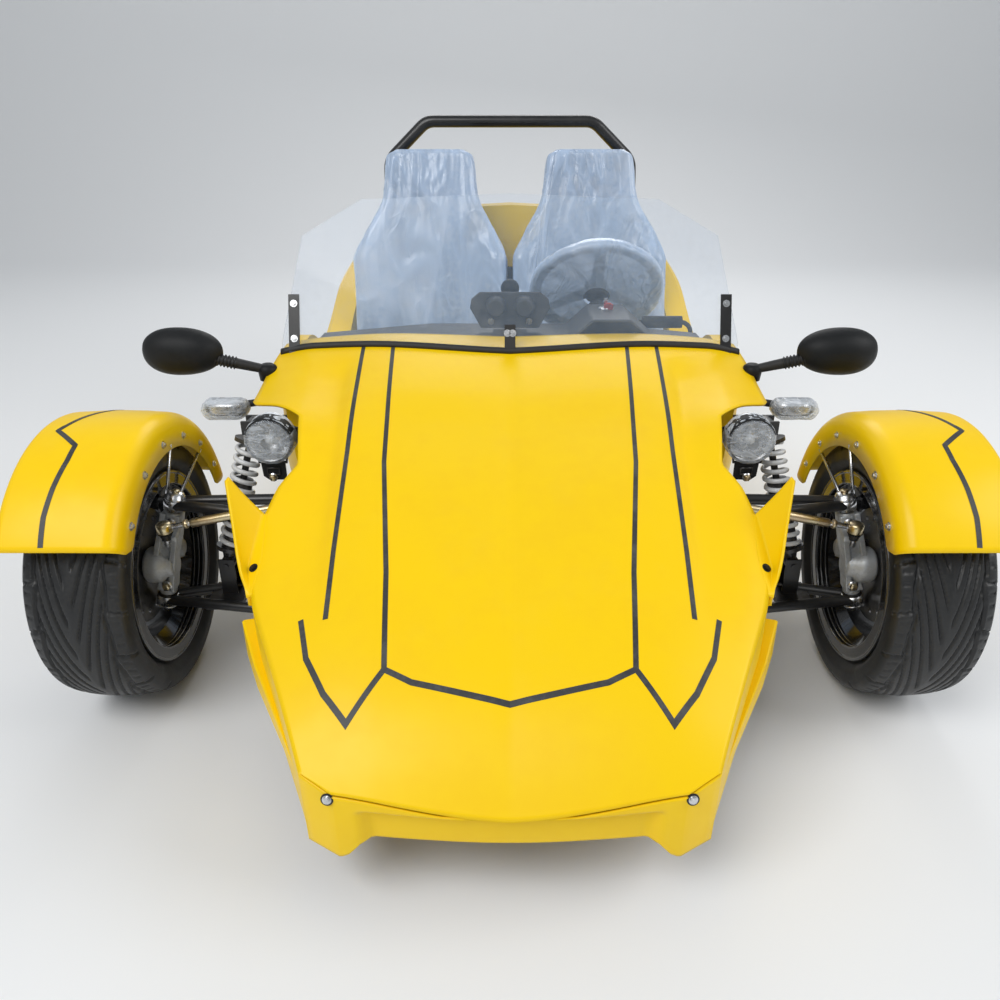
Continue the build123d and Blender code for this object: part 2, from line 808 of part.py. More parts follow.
# Skirt round the nose, from the hood's edge down to the lower lip
valance_back_y = -868
lip_rows = [(0, 158), (170, 150), (236, 118), (312, 126), (430, 150), (520, 190)]
flap_rows = [(300, -1336), (440, -1084), (480, -1000), (452, -985), (446, -1000), (426, -1068), (298, -1330)]
flap_low_z = 196
flap_front_z = 212
flap_high_z = 298
with BuildPart() as front_valance:
    add(Pos(0, 0, -skin - seat_gap) * below_skin)
    extrude(hood_plan, amount=900, mode=Mode.INTERSECT)
    extrude(nose_outline(skin), amount=900, mode=Mode.SUBTRACT)
    add_block((-700, valance_back_y, 0), (700, 0, 900), mode=Mode.SUBTRACT)
    with BuildSketch(Plane.XZ.offset(700)):
        with BuildLine():
            lip = [(-x, z) for x, z in reversed(lip_rows[1:])] + lip_rows
            Polyline((-520, 0), *lip, (520, 0), close=True)
        make_face()
    extrude(amount=900, mode=Mode.SUBTRACT)
    # Stepped flap where the skirt ends on each side, rising towards the back
    for side in (1, -1):
        with BuildSketch(Plane.XY.offset(flap_low_z)):
            with BuildLine():
                Polyline(*[(side * x, y) for x, y in flap_rows], close=True)
            make_face()
        extrude(amount=flap_high_z - flap_low_z)
    with BuildSketch(Plane.YZ.offset(-600)):
        with BuildLine():
            Polyline((-1400, flap_front_z), (-995, flap_high_z), (-995, 310), (-1400, 310), close=True)
        make_face()
    extrude(amount=1200, mode=Mode.SUBTRACT)
    add(Pos(0, 0, -skin - seat_gap) * below_skin, mode=Mode.INTERSECT)
write(front_valance.part, "front_valance")

# Upswept wing on each side of the nose
scoop_t = 6
scoop_root = (454, -935, 300)
scoop_lean = atan2(50, 237)
scoop_rows = [
    (-75, 0),
    (-70, 70),
    (-40, 160),
    (38, 246),
    (58, 236),
    (64, 196),
    (60, 0),
]
with BuildPart() as scoops:
    for side in (1, -1):
        root = mirrored(scoop_root, side)
        face = Plane(
            origin=root,
            x_dir=(0, 1, 0),
            z_dir=(side * cos(scoop_lean), 0, -sin(scoop_lean)),
        )
        up = face.y_dir.Z
        with BuildSketch(face):
            with BuildLine():
                Polyline(*[(along_y, rise * (1 if up > 0 else -1)) for along_y, rise in scoop_rows], close=True)
            make_face()
        extrude(amount=scoop_t)
    # Inner face follows the nose's wall
    with BuildPart(mode=Mode.PRIVATE) as wall:
        extrude(nose_outline(-seat_gap), amount=900)
    add(wall.part, mode=Mode.SUBTRACT)
write(scoops.part, "scoops")

# Side panels: sill and cockpit wall in one, as thick as the whole side
side_rows = [
    # y, low outer x, low z, waist x, waist z, top outer x, top z, inner x
    (-420, 506, 196, 506, 340, 528, 588, 492),
    (-300, 545, 176, 566, 330, 540, 590, 496),
    (-150, 570, sill_z, 600, 320, 548, 590, 498),
    (40, 585, sill_z, 620, 320, 590, 452, 500),
    (260, 580, sill_z, 612, 320, 585, 446, 500),
    (430, 556, sill_z, 588, 350, 560, 560, 486),
    (598, 500, 190, 540, 400, 500, 690, 452),
]
with BuildPart() as side_panels:
    for side in (1, -1):
        sections = []
        for y, low_x, low_z, waist_x, waist_z, top_x, top_z, inner_x in side_rows:
            with BuildSketch(Plane.XZ.offset(-y)) as section:
                with BuildLine():
                    Polyline(
                        (side * inner_x, low_z),
                        (side * low_x, low_z),
                        (side * waist_x, waist_z),
                        (side * top_x, top_z - 12),
                        (side * (top_x - 14), top_z),
                        (side * inner_x, top_z),
                        close=True,
                    )
                make_face()
            sections.append(section.sketch)
        loft(sections)
    add_block((-700, -200, 0), (700, 500, sill_z), mode=Mode.SUBTRACT)
write(side_panels.part, "side_panels")

# Rear body: deck, flanks and front wall round the engine and rear wheel
rear_rows = [
    # y, crown z, deck x, deck z, side x, side z, bottom x, bottom z
    (602, 822, 210, 812, 380, 740, 448, 430),
    (820, 806, 190, 796, 330, 715, 372, 470),
    (1060, 768, 150, 760, 236, 706, 250, 610),
    (1320, 716, 84, 708, 136, 680, 140, 640),
]


def rear_solid(inset, first_y, last_y):
    """Loft of the rear body's sections, drawn in by this much."""
    with BuildPart() as solid:
        for y, crown_z, deck_x, deck_z, side_x, side_z, low_x, low_z in rear_rows:
            half = [
                (0, crown_z - inset),
                (deck_x - inset * 0.4, deck_z - inset),
                (side_x - inset, side_z - inset * 0.6),
                (low_x - inset, low_z - inset * 2),
            ]
            left = [(-x, z) for x, z in reversed(half[1:])]
            station = y
            if y == rear_rows[0][0]:
                station = first_y
            if y == rear_rows[-1][0]:
                station = last_y
            with BuildSketch(Plane.XZ.offset(-station)):
                with BuildLine():
                    Polyline(*half, *left, close=True)
                make_face()
        loft()
    return solid.part


rear_front_y = rear_rows[0][0]
rear_end_y = rear_rows[-1][0]
rear_inside = rear_solid(skin, rear_front_y + skin, rear_end_y - skin)
with BuildPart() as rear_body:
    add(rear_solid(0, rear_front_y, rear_end_y))
    add(rear_inside, mode=Mode.SUBTRACT)
    # The lower half of the front wall and the underside are open round the engine and tyre
    add_block((-316, rear_front_y - 1, 300), (316, rear_front_y + skin + 1, 626), mode=Mode.SUBTRACT)
write(rear_body.part, "rear_body")


# Frame

lug_xs = (-330, -60, 60, 330)


def lower_rail(side):
    return [
        (side * nose_rail_x, nose_rail_y, rail_z),
        (side * suspension_rail_x, front_axle_y - 110, rail_z),
        (side * suspension_rail_x, front_axle_y + 190, rail_z),
        (side * rail_x, cowl_hoop_y, rail_z),
        (side * rail_x, rear_hoop_y, rail_z),
        (side * 206, pivot_y - 10, rail_z + 40),
    ]


def upper_rail(side):
    return [
        (side * nose_rail_x, nose_rail_y, rail_z + nose_rail_rise),
        (side * upper_rail_x, front_axle_y - 140, upper_rail_z - 20),
        (side * upper_rail_x, front_axle_y + 160, upper_rail_z),
        (side * (cowl_hoop_x - 60), cowl_hoop_y, cowl_hoop_z),
    ]


# Posts from the tubes up to the inner faces of the hood and the rear body
post_r = 9
with BuildPart() as hood_posts:
    for side in (1, -1):
        for post_x, post_y, post_z in (
            (cowl_hoop_x - 90, cowl_hoop_y, cowl_hoop_z),
            (nose_rail_x, nose_rail_y, rail_z + nose_rail_rise),
        ):
            add_rod((side * post_x, post_y, post_z), (side * post_x, post_y, post_z + 200), post_r)
    add(Pos(0, 0, -skin - seat_gap) * below_skin, mode=Mode.INTERSECT)
with BuildPart() as shell_posts:
    rear_post_x = 160
    for side in (1, -1):
        add_rod((side * rear_post_x, 960, tail_rail_z), (side * rear_post_x, 960, tail_rail_z + 200), post_r)
    add(Pos(0, 0, -seat_gap) * rear_inside, mode=Mode.INTERSECT)
    add(hood_posts.part)

with BuildPart() as frame:
    for side in (1, -1):
        add_bar(lower_rail(side), rail_r)
        add_bar(upper_rail(side), rail_r)
        nose_corner = (side * nose_rail_x, nose_rail_y, rail_z)
        add_rod(nose_corner, (side * nose_rail_x, nose_rail_y, rail_z + nose_rail_rise), rail_r)
        # Cowl hoop, rear hoop and the tail rails
        add_rod((side * rail_x, cowl_hoop_y, rail_z), (side * cowl_hoop_x, cowl_hoop_y, cowl_hoop_z), rail_r)
        add_rod((side * rear_hoop_x, rear_hoop_y, rail_z), (side * rear_hoop_x, rear_hoop_y, rear_hoop_z), rail_r)
        add_bar(
            [
                (side * rear_hoop_x, rear_hoop_y, rear_hoop_z),
                (side * 206, pivot_y + 20, tail_rail_z),
                (side * tail_rail_x, tail_rail_y, tail_rail_z),
            ],
            brace_r,
        )
        add_rod((side * 206, pivot_y - 10, rail_z + 40), (side * 206, pivot_y + 20, tail_rail_z), rail_r)
        # Pivot plates
        xs = sorted((side * (swing_half + seat_gap), side * 206))
        add_block((xs[0], pivot_y - 34, pivot_z - 40), (xs[1], pivot_y + 34, pivot_z + 40))
        # Rear damper mounts
        top = Vector(*mirrored(rear_shock_top, side))
        xs = sorted((top.X - side * (coil_eye_w / 2 + seat_gap), top.X - side * (coil_eye_w / 2 + seat_gap + 6)))
        add_block((xs[0], top.Y - 16, top.Z - 14), (xs[1], top.Y + 16, tail_rail_z + 8))
        add_rod(top - Vector(side * 24, 0, 0), top + Vector(side * 22, 0, 0), pin_r)
        # Shock tower with a clevis round the damper's upper eye
        mount = Vector(*mirrored(coil_top, side))
        neck = mount + Vector(-side * 62, 0, -8)
        add_rod((side * upper_rail_x, mount.Y - 30, upper_rail_z - 4), neck, brace_r)
        add_rod((side * upper_rail_x, mount.Y + 60, upper_rail_z + 2), neck, brace_r)
        web_y = coil_eye_w / 2 + seat_gap
        for face_y in (-1, 1):
            ys = sorted((mount.Y + face_y * web_y, mount.Y + face_y * (web_y + plate_t)))
            xs = sorted((mount.X - side * 66, mount.X + side * 18))
            add_block((xs[0], ys[0], mount.Z - 13), (xs[1], ys[1], mount.Z + 15))
        xs = sorted((mount.X - side * 66, mount.X - side * 50))
        add_block((xs[0], mount.Y - web_y - 1, mount.Z - 20), (xs[1], mount.Y + web_y + 1, mount.Z + 10))
        reach = Vector(0, coil_eye_w / 2 + 12, 0)
        add_rod(mount - reach, mount + reach, pin_r)
        # Bolts and tabs for the arms' inner bushes
        for inner_x, inner_z, ys_pair in (
            (lower_inner_x, lower_inner_z, (lower_inner_front_y, lower_inner_rear_y)),
            (upper_inner_x, upper_inner_z, (upper_inner_front_y, upper_inner_rear_y)),
        ):
            for bush_y in ys_pair:
                for face_y in (-1, 1):
                    inner_y = face_y * (bush_len / 2 + seat_gap)
                    ys = sorted((bush_y + inner_y, bush_y + inner_y + face_y * 5))
                    xs = sorted((side * (inner_x - 52), side * (inner_x + 12)))
                    add_block((xs[0], ys[0], inner_z - 14), (xs[1], ys[1], inner_z + 12))
                reach = Vector(0, bush_len / 2 + 4, 0)
                pin = Vector(side * inner_x, bush_y, inner_z)
                add_rod(pin - reach, pin + reach, pin_r)
        # Outriggers under the sills
        for rig_y in (-80, 90, 240):
            xs = sorted((side * (rail_x - 4), side * (rail_x + 150)))
            add_block((xs[0], rig_y - 20, sill_z - 14), (xs[1], rig_y + 20, sill_z - seat_gap))
        # Pads for the roll bar's feet
        pad = sorted((side * (rail_x - 36), side * (rail_x + 44)))
        add_block((pad[0], bar_foot_y - 40, rail_z), (pad[1], bar_foot_y + 40, rail_z + 22))
    # Plate under the steering rack
    plate_top = rack_z - rack_foot - seat_gap
    add_block((-upper_rail_x, rack_y - 24, plate_top - 8), (upper_rail_x, rack_y + 24, plate_top))
    # Hanger from the cowl hoop to the steering column
    hanger_low = Vector(*wheel_centre) + column_dir * 300
    hanger_high = Vector(*wheel_centre) + column_dir * 200
    for face_x in (-1, 1):
        inner_x = wheel_centre[0] + face_x * (column_r + seat_gap)
        xs = sorted((inner_x, inner_x + face_x * 5))
        with BuildSketch(Plane.YZ.offset(xs[0])):
            with BuildLine():
                Polyline(
                    (cowl_hoop_y - 10, cowl_hoop_z + 10),
                    (hanger_high.Y, hanger_high.Z + 20),
                    (hanger_high.Y, hanger_high.Z - 10),
                    (hanger_low.Y, hanger_low.Z - 10),
                    (cowl_hoop_y - 10, cowl_hoop_z - 10),
                    close=True,
                )
            make_face()
        extrude(amount=5)
    # Lugs for the dash, and the posts under the body shell
    for lug_x in lug_xs:
        add_block((lug_x - 12, cowl_hoop_y, cowl_hoop_z + 4), (lug_x + 12, dash_y + 44, dash_low_z - seat_gap))
    add(shell_posts.part)
    # Tow eye under the nose, a level plate with an upright hole
    with BuildSketch(Plane.XY.offset(rail_z - rail_r + 2)):
        with Locations((0, nose_rail_y - tow_reach)):
            Circle(tow_eye_r * 2)
        with Locations((0, nose_rail_y - tow_reach / 2)):
            Rectangle(tow_eye_r * 4, tow_reach)
        with Locations((0, nose_rail_y - tow_reach)):
            Circle(tow_eye_r, mode=Mode.SUBTRACT)
    extrude(amount=tow_plate_t)
    # Cross members
    for cross_y, cross_x, cross_z in (
        (nose_rail_y, nose_rail_x, rail_z),
        (nose_rail_y, nose_rail_x, rail_z + nose_rail_rise),
        (front_axle_y - 110, suspension_rail_x, rail_z),
        (front_axle_y + 190, suspension_rail_x, rail_z),
        (cowl_hoop_y, rail_x, rail_z),
        (rear_hoop_y, rail_x, rail_z),
        (pivot_y - 10, 206, rail_z + 40),
        (front_axle_y - 140, upper_rail_x, upper_rail_z - 20),
        (cowl_hoop_y, cowl_hoop_x, cowl_hoop_z),
        (rear_hoop_y, rear_hoop_x, rear_hoop_z),
        (tail_rail_y, tail_rail_x, tail_rail_z),
    ):
        cross_r = rail_r if cross_z == rail_z else brace_r
        add_rod((-cross_x, cross_y, cross_z), (cross_x, cross_y, cross_z), cross_r)
write(frame.part, "frame")

# Windscreen: one bent sheet, raked back
rake = radians(screen_rake)
screen_dir = Vector(0, sin(rake), cos(rake))
screen_low_z = 560
screen_base_z = 635
screen_reach = 560
screen_rows = [(0, screen_low_z), (516, screen_low_z), (516, 640), (465, 860), (330, 935), (0, 948)]
with BuildPart() as windshield:
    with BuildSketch(Plane.XY.offset(screen_low_z)):
        with BuildLine():
            start_y = screen_base_y - (screen_base_z - screen_low_z) * sin(rake) / cos(rake)
            side_y = start_y + 10
            middle_y = start_y - screen_bow
            outer = ThreePointArc((-screen_reach, side_y), (0, middle_y), (screen_reach, side_y))
            inner = ThreePointArc(
                (screen_reach, side_y + screen_t), (0, middle_y + screen_t), (-screen_reach, side_y + screen_t)
            )
            Line(outer @ 1, inner @ 0)
            Line(inner @ 1, outer @ 0)
        make_face()
    extrude(amount=460, dir=screen_dir)
    with BuildSketch(Plane.XZ.offset(900)):
        with BuildLine():
            Polyline(*screen_rows, *[(-x, z) for x, z in reversed(screen_rows[1:-1])], close=True)
        make_face()
    extrude(amount=-1200, mode=Mode.INTERSECT)
    add(below_hood, mode=Mode.SUBTRACT)
write(windshield.part, "windshield")

# Brackets clamping the windscreen to the hood, and a tab at its middle
with BuildPart() as windshield_brackets:
    for bracket_x, height in ((486, 150), (-486, 150), (0, 80)):
        low_z = 600 if bracket_x else 610
        span = abs(bracket_x) / screen_reach
        face_y = screen_base_y - screen_bow + (screen_bow + 10) * span * span - 1.9
        foot_y = face_y + (low_z - screen_base_z) * sin(rake) / cos(rake)
        bracket_plane = Plane(
            origin=(bracket_x, foot_y, low_z), x_dir=(1, 0, 0), z_dir=(0, -cos(rake), sin(rake))
        )
        with BuildSketch(bracket_plane):
            Rectangle(24, height, align=(Align.CENTER, Align.MIN))
        extrude(amount=4)
    add(below_hood, mode=Mode.SUBTRACT)
write(windshield_brackets.part, "windshield_brackets")

# Instrument pod: hexagonal plate with two gauges, on a stalk from the cowl hoop
pod_y = -250
with BuildPart() as instrument_pod:
    with BuildSketch(Plane.XZ.offset(-pod_y)):
        with BuildLine():
            Polyline((-96, 678), (-62, 722), (62, 722), (96, 678), (62, 634), (-62, 634), close=True)
        make_face()
    extrude(amount=6)
    for side in (1, -1):
        add_rod((side * 34, pod_y - 40, 690), (side * 34, pod_y + 8, 690), 27)
    add_block((-40, dash_y + 10, dash_top_z + seat_gap), (40, pod_y, dash_top_z + 7))
write(instrument_pod.part, "instrument_pod")

# Dash: cover behind the windscreen over the cowl hoop, with a hump over the column
with BuildPart() as dashboard:
    with BuildSketch(Plane.XZ.offset(-dash_y)):
        with BuildLine():
            Polyline(
                (-dash_half, dash_low_z),
                (-dash_half, dash_side_z),
                (-200, dash_top_z),
                (200, dash_top_z),
                (dash_half, dash_side_z),
                (dash_half, dash_low_z),
                close=True,
            )
        make_face()
    extrude(amount=-dash_depth)
    with BuildSketch(Plane.XZ.offset(-dash_y)):
        with BuildLine():
            Polyline(*[(hump_x + x, z) for x, z in hump_rows], close=True)
        make_face()
    extrude(amount=-dash_depth)
    add_rod(
        Vector(*wheel_centre) - column_dir * 200,
        Vector(*wheel_centre) + column_dir * 500,
        column_r + seat_gap,
        mode=Mode.SUBTRACT,
    )
write(dashboard.part, "dashboard")

# Seats: bucket with side bolsters and a narrow headrest
cushion_low = floor_z + floor_t + seat_gap
lean_step = sin(seat_lean) / cos(seat_lean)
seat_foot_y = seat_back_front[0] + (cushion_low - seat_back_front[1]) * lean_step + 20
half_seat = seat_w / 2
seat_outline = [(half_seat, 22), (half_seat, 520), (half_seat - 60, 590), (138, 640), (118, 850)]
for side_name, side in sides.items():
    seat_centre = side * seat_x
    with BuildPart() as seat:
        cushion_front = (seat_centre - half_seat, seat_cushion_front, cushion_low)
        cushion_back = (seat_centre + half_seat, seat_cushion_back, cushion_low + seat_cushion_h)
        add_block(cushion_front, cushion_back)
        for edge in (1, -1):
            xs = sorted((seat_centre + edge * half_seat, seat_centre + edge * (half_seat - seat_edge_w)))
            edge_front = (xs[0], seat_cushion_front + 20, cushion_low)
            edge_back = (xs[1], seat_cushion_back - 30, cushion_low + seat_edge_h)
            add_block(edge_front, edge_back)
        back_plane = Plane(
            origin=(seat_centre, seat_foot_y, cushion_low),
            x_dir=(1, 0, 0),
            z_dir=(0, -cos(seat_lean), sin(seat_lean)),
        )
        with BuildSketch(back_plane):
            with BuildLine():
                Polyline(*seat_outline, *[(-x, y) for x, y in reversed(seat_outline)], close=True)
            make_face()
        extrude(amount=-seat_back_t)
        for edge in (1, -1):
            with BuildSketch(back_plane):
                with BuildLine():
                    Polyline(
                        (edge * half_seat, 100),
                        (edge * half_seat, 520),
                        (edge * (half_seat - 60), 560),
                        (edge * (half_seat - 66), 100),
                        close=True,
                    )
                make_face()
            extrude(amount=bolster_t)
    write(seat.part, f"seat_{side_name}")

# Pedals, gear lever and hand lever
with BuildPart() as pedals:
    for pedal_x in pedal_xs:
        top = (pedal_x, toe_y + 60, 400)
        low = (pedal_x, toe_y + 80, 230)
        add_rod(top, low, 7)
        with BuildSketch(Plane(origin=low, x_dir=(1, 0, 0), z_dir=(0, 0.94, 0.34))):
            Rectangle(44, 60)
        extrude(amount=6)
    add_rod((170, toe_y + 60, 400), (360, toe_y + 60, 400), 8)
    for bracket_x in (170, 354):
        add_block((bracket_x - 3, toe_y + floor_t + seat_gap, 386), (bracket_x + 3, toe_y + 70, 414))
write(pedals.part, "pedals")

with BuildPart() as gear_lever:
    with BuildSketch(Plane.XY.offset(floor_z + floor_t + seat_gap)):
        Rectangle(10, 160)
    extrude(amount=60)
    add_rod((0, -20, floor_z + 50), (0, knob_centre[1] - 2, knob_centre[2] - 15), 8)
    with Locations(knob_centre):
        Sphere(26)
write(gear_lever.part, "gear_lever")

# Hand lever between the driver's seat and the side wall, with a level rubber grip
with BuildPart() as hand_lever:
    add_block((stem_x - 8, lever_y - 50, sill_z), (stem_x + 8, lever_y + 50, sill_z + 6))
    corner = (stem_x, lever_y, grip_z)
    add_bar([(stem_x, lever_y, sill_z + 3), corner, (stem_x - 142, lever_y, grip_z)], 6, bend=30)
    add_rod((stem_x - 130, lever_y, grip_z), (stem_x - 26, lever_y, grip_z), 16)
write(hand_lever.part, "hand_lever")


# Lamps, mirrors and signals

with BuildPart() as headlights:
    for side in (1, -1):
        eye = Vector(*mirrored(headlight_eye, side))
        with BuildSketch(Plane(origin=eye, x_dir=(1, 0, 0), z_dir=(0, 1, 0))):
            Circle(headlight_r)
        extrude(amount=46, taper=12)
        add_rod(eye + Vector(0, 4, 0), eye + Vector(0, 12, 0), headlight_r + 2)
        tower_y = coil_top[1] - coil_eye_w / 2 - seat_gap * 2 - plate_t
        add_block((eye.X - 14, eye.Y + 40, eye.Z - 30), (eye.X + 14, tower_y, eye.Z + 4))
write(headlights.part, "headlights")

mirror_rows = [(-8, 82, 52), (0, 85, 54), (22, 74, 46), (44, 34, 22)]
with BuildPart() as mirrors:
    for side in (1, -1):
        head = Vector(*mirrored(mirror_head, side))
        foot = Vector(*mirrored(mirror_foot, side))
        for forward, half_w, half_h in mirror_rows:
            with BuildSketch(Plane(origin=head, x_dir=(1, 0, 0), z_dir=(0, -1, 0)).offset(forward)):
                Ellipse(half_w, half_h)
        loft()
        add_rod(head + Vector(-side * 50, -14, -10), foot, 12)
        add_rod(foot - Vector(0, 0, 38), foot + Vector(0, 0, 14), 22)
    add(below_hood, mode=Mode.SUBTRACT)
write(mirrors.part, "mirrors")

with BuildPart() as turn_signals:
    for side in (1, -1):
        lamp = Vector(*mirrored(signal_lamp, side))
        with BuildSketch(Plane(origin=lamp, x_dir=(1, 0, 0), z_dir=(0, -1, 0))):
            SlotOverall(signal_w, signal_h)
        extrude(amount=38, taper=10)
        with BuildSketch(Plane(origin=lamp, x_dir=(1, 0, 0), z_dir=(0, 1, 0))):
            SlotOverall(signal_w, signal_h)
        extrude(amount=14)
        add_rod(lamp + Vector(-side * 30, 4, 4), (side * (cowl_hoop_x - 2), cowl_hoop_y, cowl_hoop_z - 24), 8)
        add_rod(
            (side * rail_x, cowl_hoop_y, rail_z),
            (side * cowl_hoop_x, cowl_hoop_y, cowl_hoop_z),
            rail_r + seat_gap,
            mode=Mode.SUBTRACT,
        )
write(turn_signals.part, "turn_signals")


# Rear: swing arm, axle, chain, engine, exhaust, mudguard, tail lamps

with BuildPart() as swing_arm:
    add_rod((-swing_half, pivot_y, pivot_z), (swing_half, pivot_y, pivot_z), pivot_tube_r)
    for side in (1, -1):
        inner_x = swing_half - 28
        xs = sorted((side * inner_x, side * swing_half))
        with BuildSketch(Plane.YZ.offset(xs[0])):
            with BuildLine():
                Polyline(
                    (pivot_y - 20, pivot_z + 24),
                    (pivot_y + 120, pivot_z + 30),
                    (rear_axle_y + 52, rear_tyre_r + 22),
                    (rear_axle_y + 52, rear_tyre_r - 22),
                    (pivot_y + 120, pivot_z - 30),
                    (pivot_y - 20, pivot_z - 24),
                    close=True,
                )
            make_face()
        extrude(amount=28)
        low = Vector(*mirrored(rear_shock_low, side))
        add_rod(Vector(side * (swing_half - 4), low.Y, low.Z), low + Vector(side * 22, 0, 0), pin_r)
        xs = sorted((side * (swing_half - 20), side * (swing_half - seat_gap - 1)))
        add_block((xs[0], low.Y - 16, rear_tyre_r), (xs[1], low.Y + 16, low.Z + 12))
    add_rod((-swing_half - 8, rear_axle_y, rear_tyre_r), (swing_half + 8, rear_axle_y, rear_tyre_r), axle_r)
write(swing_arm.part, "swing_arm")

# Drive chain: one fixed loop round both sprockets
with BuildPart() as chain:
    gap_run = sqrt((rear_axle_y - drive_y) ** 2 + (rear_tyre_r - drive_z) ** 2)
    with BuildSketch(Plane.YZ.offset(rear_carrier_x - 2)):
        for radius, mode in ((chain_h, Mode.ADD), (seat_gap, Mode.SUBTRACT)):
            spread = sprocket_r - drive_r
            swing = atan2(spread, gap_run)
            rise = atan2(rear_tyre_r - drive_z, rear_axle_y - drive_y)
            big = sprocket_r + radius
            small = drive_r + radius
            up = rise + pi / 2 + swing
            down = rise - pi / 2 - swing
            with BuildLine():
                top_small = (drive_y + small * cos(up), drive_z + small * sin(up))
                top_big = (rear_axle_y + big * cos(up), rear_tyre_r + big * sin(up))
                low_big = (rear_axle_y + big * cos(down), rear_tyre_r + big * sin(down))
                low_small = (drive_y + small * cos(down), drive_z + small * sin(down))
                far = (rear_axle_y + big * cos(rise), rear_tyre_r + big * sin(rise))
                near = (drive_y - small * cos(rise), drive_z - small * sin(rise))
                Line(top_small, top_big)
                ThreePointArc(top_big, far, low_big)
                Line(low_big, low_small)
                ThreePointArc(low_small, near, top_small)
            make_face(mode=mode)
    extrude(amount=chain_t)
write(chain.part, "chain")

with BuildPart() as engine:
    block_top = engine_high[2]
    add_block(engine_low, engine_high)
    add_rod((engine_low[0], drive_y, drive_z), (engine_low[0] - 10, drive_y, drive_z), 60)
    add_rod((engine_high[0], drive_y, drive_z), (rear_carrier_x + sprocket_t, drive_y, drive_z), drive_r)
    with BuildSketch(Plane.XY.offset(block_top)):
        with Locations((barrel_x, barrel_y)):
            Rectangle(barrel_w, barrel_w)
    extrude(amount=100)
    for fin in range(6):
        with BuildSketch(Plane.XY.offset(block_top + 6 + fin * fin_pitch)):
            with Locations((barrel_x, barrel_y)):
                RectangleRounded(barrel_w + 54, barrel_w + 44, 20)
        extrude(amount=fin_t)
    add_block((barrel_x - 65, barrel_y - 50, block_top + 100), (barrel_x + 65, barrel_y + 60, block_top + 140))
write(engine.part, "engine")

with BuildPart() as exhaust:
    port = (barrel_x - 65 - seat_gap, barrel_y + 2, engine_high[2] + 119)
    pipe = [port, (barrel_x - 140, port[1], port[2]), (exhaust_x, 640, 410), (exhaust_x, 900, 410)]
    add_bar(pipe, exhaust_r, bend=36)
    add_rod((exhaust_x, 880, 410), (exhaust_x, 1280, 460), muffler_r)
    add_rod((exhaust_x, 1270, 459), (exhaust_x, 1310, 464), exhaust_r + 5)
write(exhaust.part, "exhaust")

with BuildPart() as rear_mudguard:
    guard_in = rear_tyre_r + 14
    guard_start = radians(60)
    guard_plane = Plane(origin=rear_hub, x_dir=(1, 0, 0), z_dir=(0, -sin(guard_start), cos(guard_start)))
    with BuildSketch(guard_plane):
        with BuildLine():
            Polyline(
                (-128, guard_in - 40),
                (-128, guard_in - 8),
                (-110, guard_in + 5),
                (110, guard_in + 5),
                (128, guard_in - 8),
                (128, guard_in - 40),
                (124, guard_in - 40),
                (124, guard_in - 10),
                (108, guard_in),
                (-108, guard_in),
                (-124, guard_in - 10),
                (-124, guard_in - 40),
                close=True,
            )
        make_face()
    revolve(axis=Axis(rear_hub, (1, 0, 0)), revolution_arc=70)
    for side in (1, -1):
        foot = Vector(side * 153, 940, 320.6)
        add_block((foot.X - 5, foot.Y - 14, foot.Z), (foot.X + 5, foot.Y + 14, foot.Z + 8))
        angle = radians(118)
        reach = guard_in - 26
        guard_point = (side * 126, rear_axle_y + reach * cos(angle), rear_tyre_r + reach * sin(angle))
        add_rod(foot + Vector(0, 0, 4), guard_point, 5)
write(rear_mudguard.part, "rear_mudguard")

with BuildPart() as tail_lamps:
    for side in (1, -1):
        lamp = Vector(side * 60, rear_end_y + seat_gap, 682)
        add_rod(lamp, lamp + Vector(0, 26, 0), 24)
write(tail_lamps.part, "tail_lamps")

with BuildPart() as plate_bracket:
    with BuildSketch(Plane.YZ.offset(-70)):
        with BuildLine():
            Polyline(
                (tail_rail_y + brace_r + seat_gap, 634),
                (rear_end_y + 30, 634),
                (1380, 440),
                (1388, 440),
                (rear_end_y + 36, 639),
                (tail_rail_y + brace_r + seat_gap, 639),
                close=True,
            )
        make_face()
    extrude(amount=140)
write(plate_bracket.part, "plate_bracket")
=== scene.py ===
import json
import math

import bmesh
import bpy
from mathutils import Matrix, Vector, noise
from mathutils.bvhtree import BVHTree


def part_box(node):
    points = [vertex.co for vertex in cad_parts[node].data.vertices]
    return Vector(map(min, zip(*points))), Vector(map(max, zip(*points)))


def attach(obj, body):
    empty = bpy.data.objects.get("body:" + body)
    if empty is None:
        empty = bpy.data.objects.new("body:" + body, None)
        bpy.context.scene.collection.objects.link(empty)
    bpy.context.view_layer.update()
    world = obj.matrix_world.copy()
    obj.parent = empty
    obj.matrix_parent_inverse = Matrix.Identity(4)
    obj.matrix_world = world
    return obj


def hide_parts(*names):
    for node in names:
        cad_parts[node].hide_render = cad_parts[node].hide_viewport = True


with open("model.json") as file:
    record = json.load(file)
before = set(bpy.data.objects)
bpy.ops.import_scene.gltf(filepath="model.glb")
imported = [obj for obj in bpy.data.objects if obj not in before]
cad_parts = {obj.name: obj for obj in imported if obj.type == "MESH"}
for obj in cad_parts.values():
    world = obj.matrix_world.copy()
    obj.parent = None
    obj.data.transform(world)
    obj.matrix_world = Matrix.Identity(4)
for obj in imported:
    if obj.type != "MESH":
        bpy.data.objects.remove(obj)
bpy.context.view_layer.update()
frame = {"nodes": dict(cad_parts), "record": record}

# Open three wheeled car. Metres in Blender, millimetres in the tables below.
# The nose points along -Y, +X is the driver's side, +Z is up.
nodes = frame["nodes"]
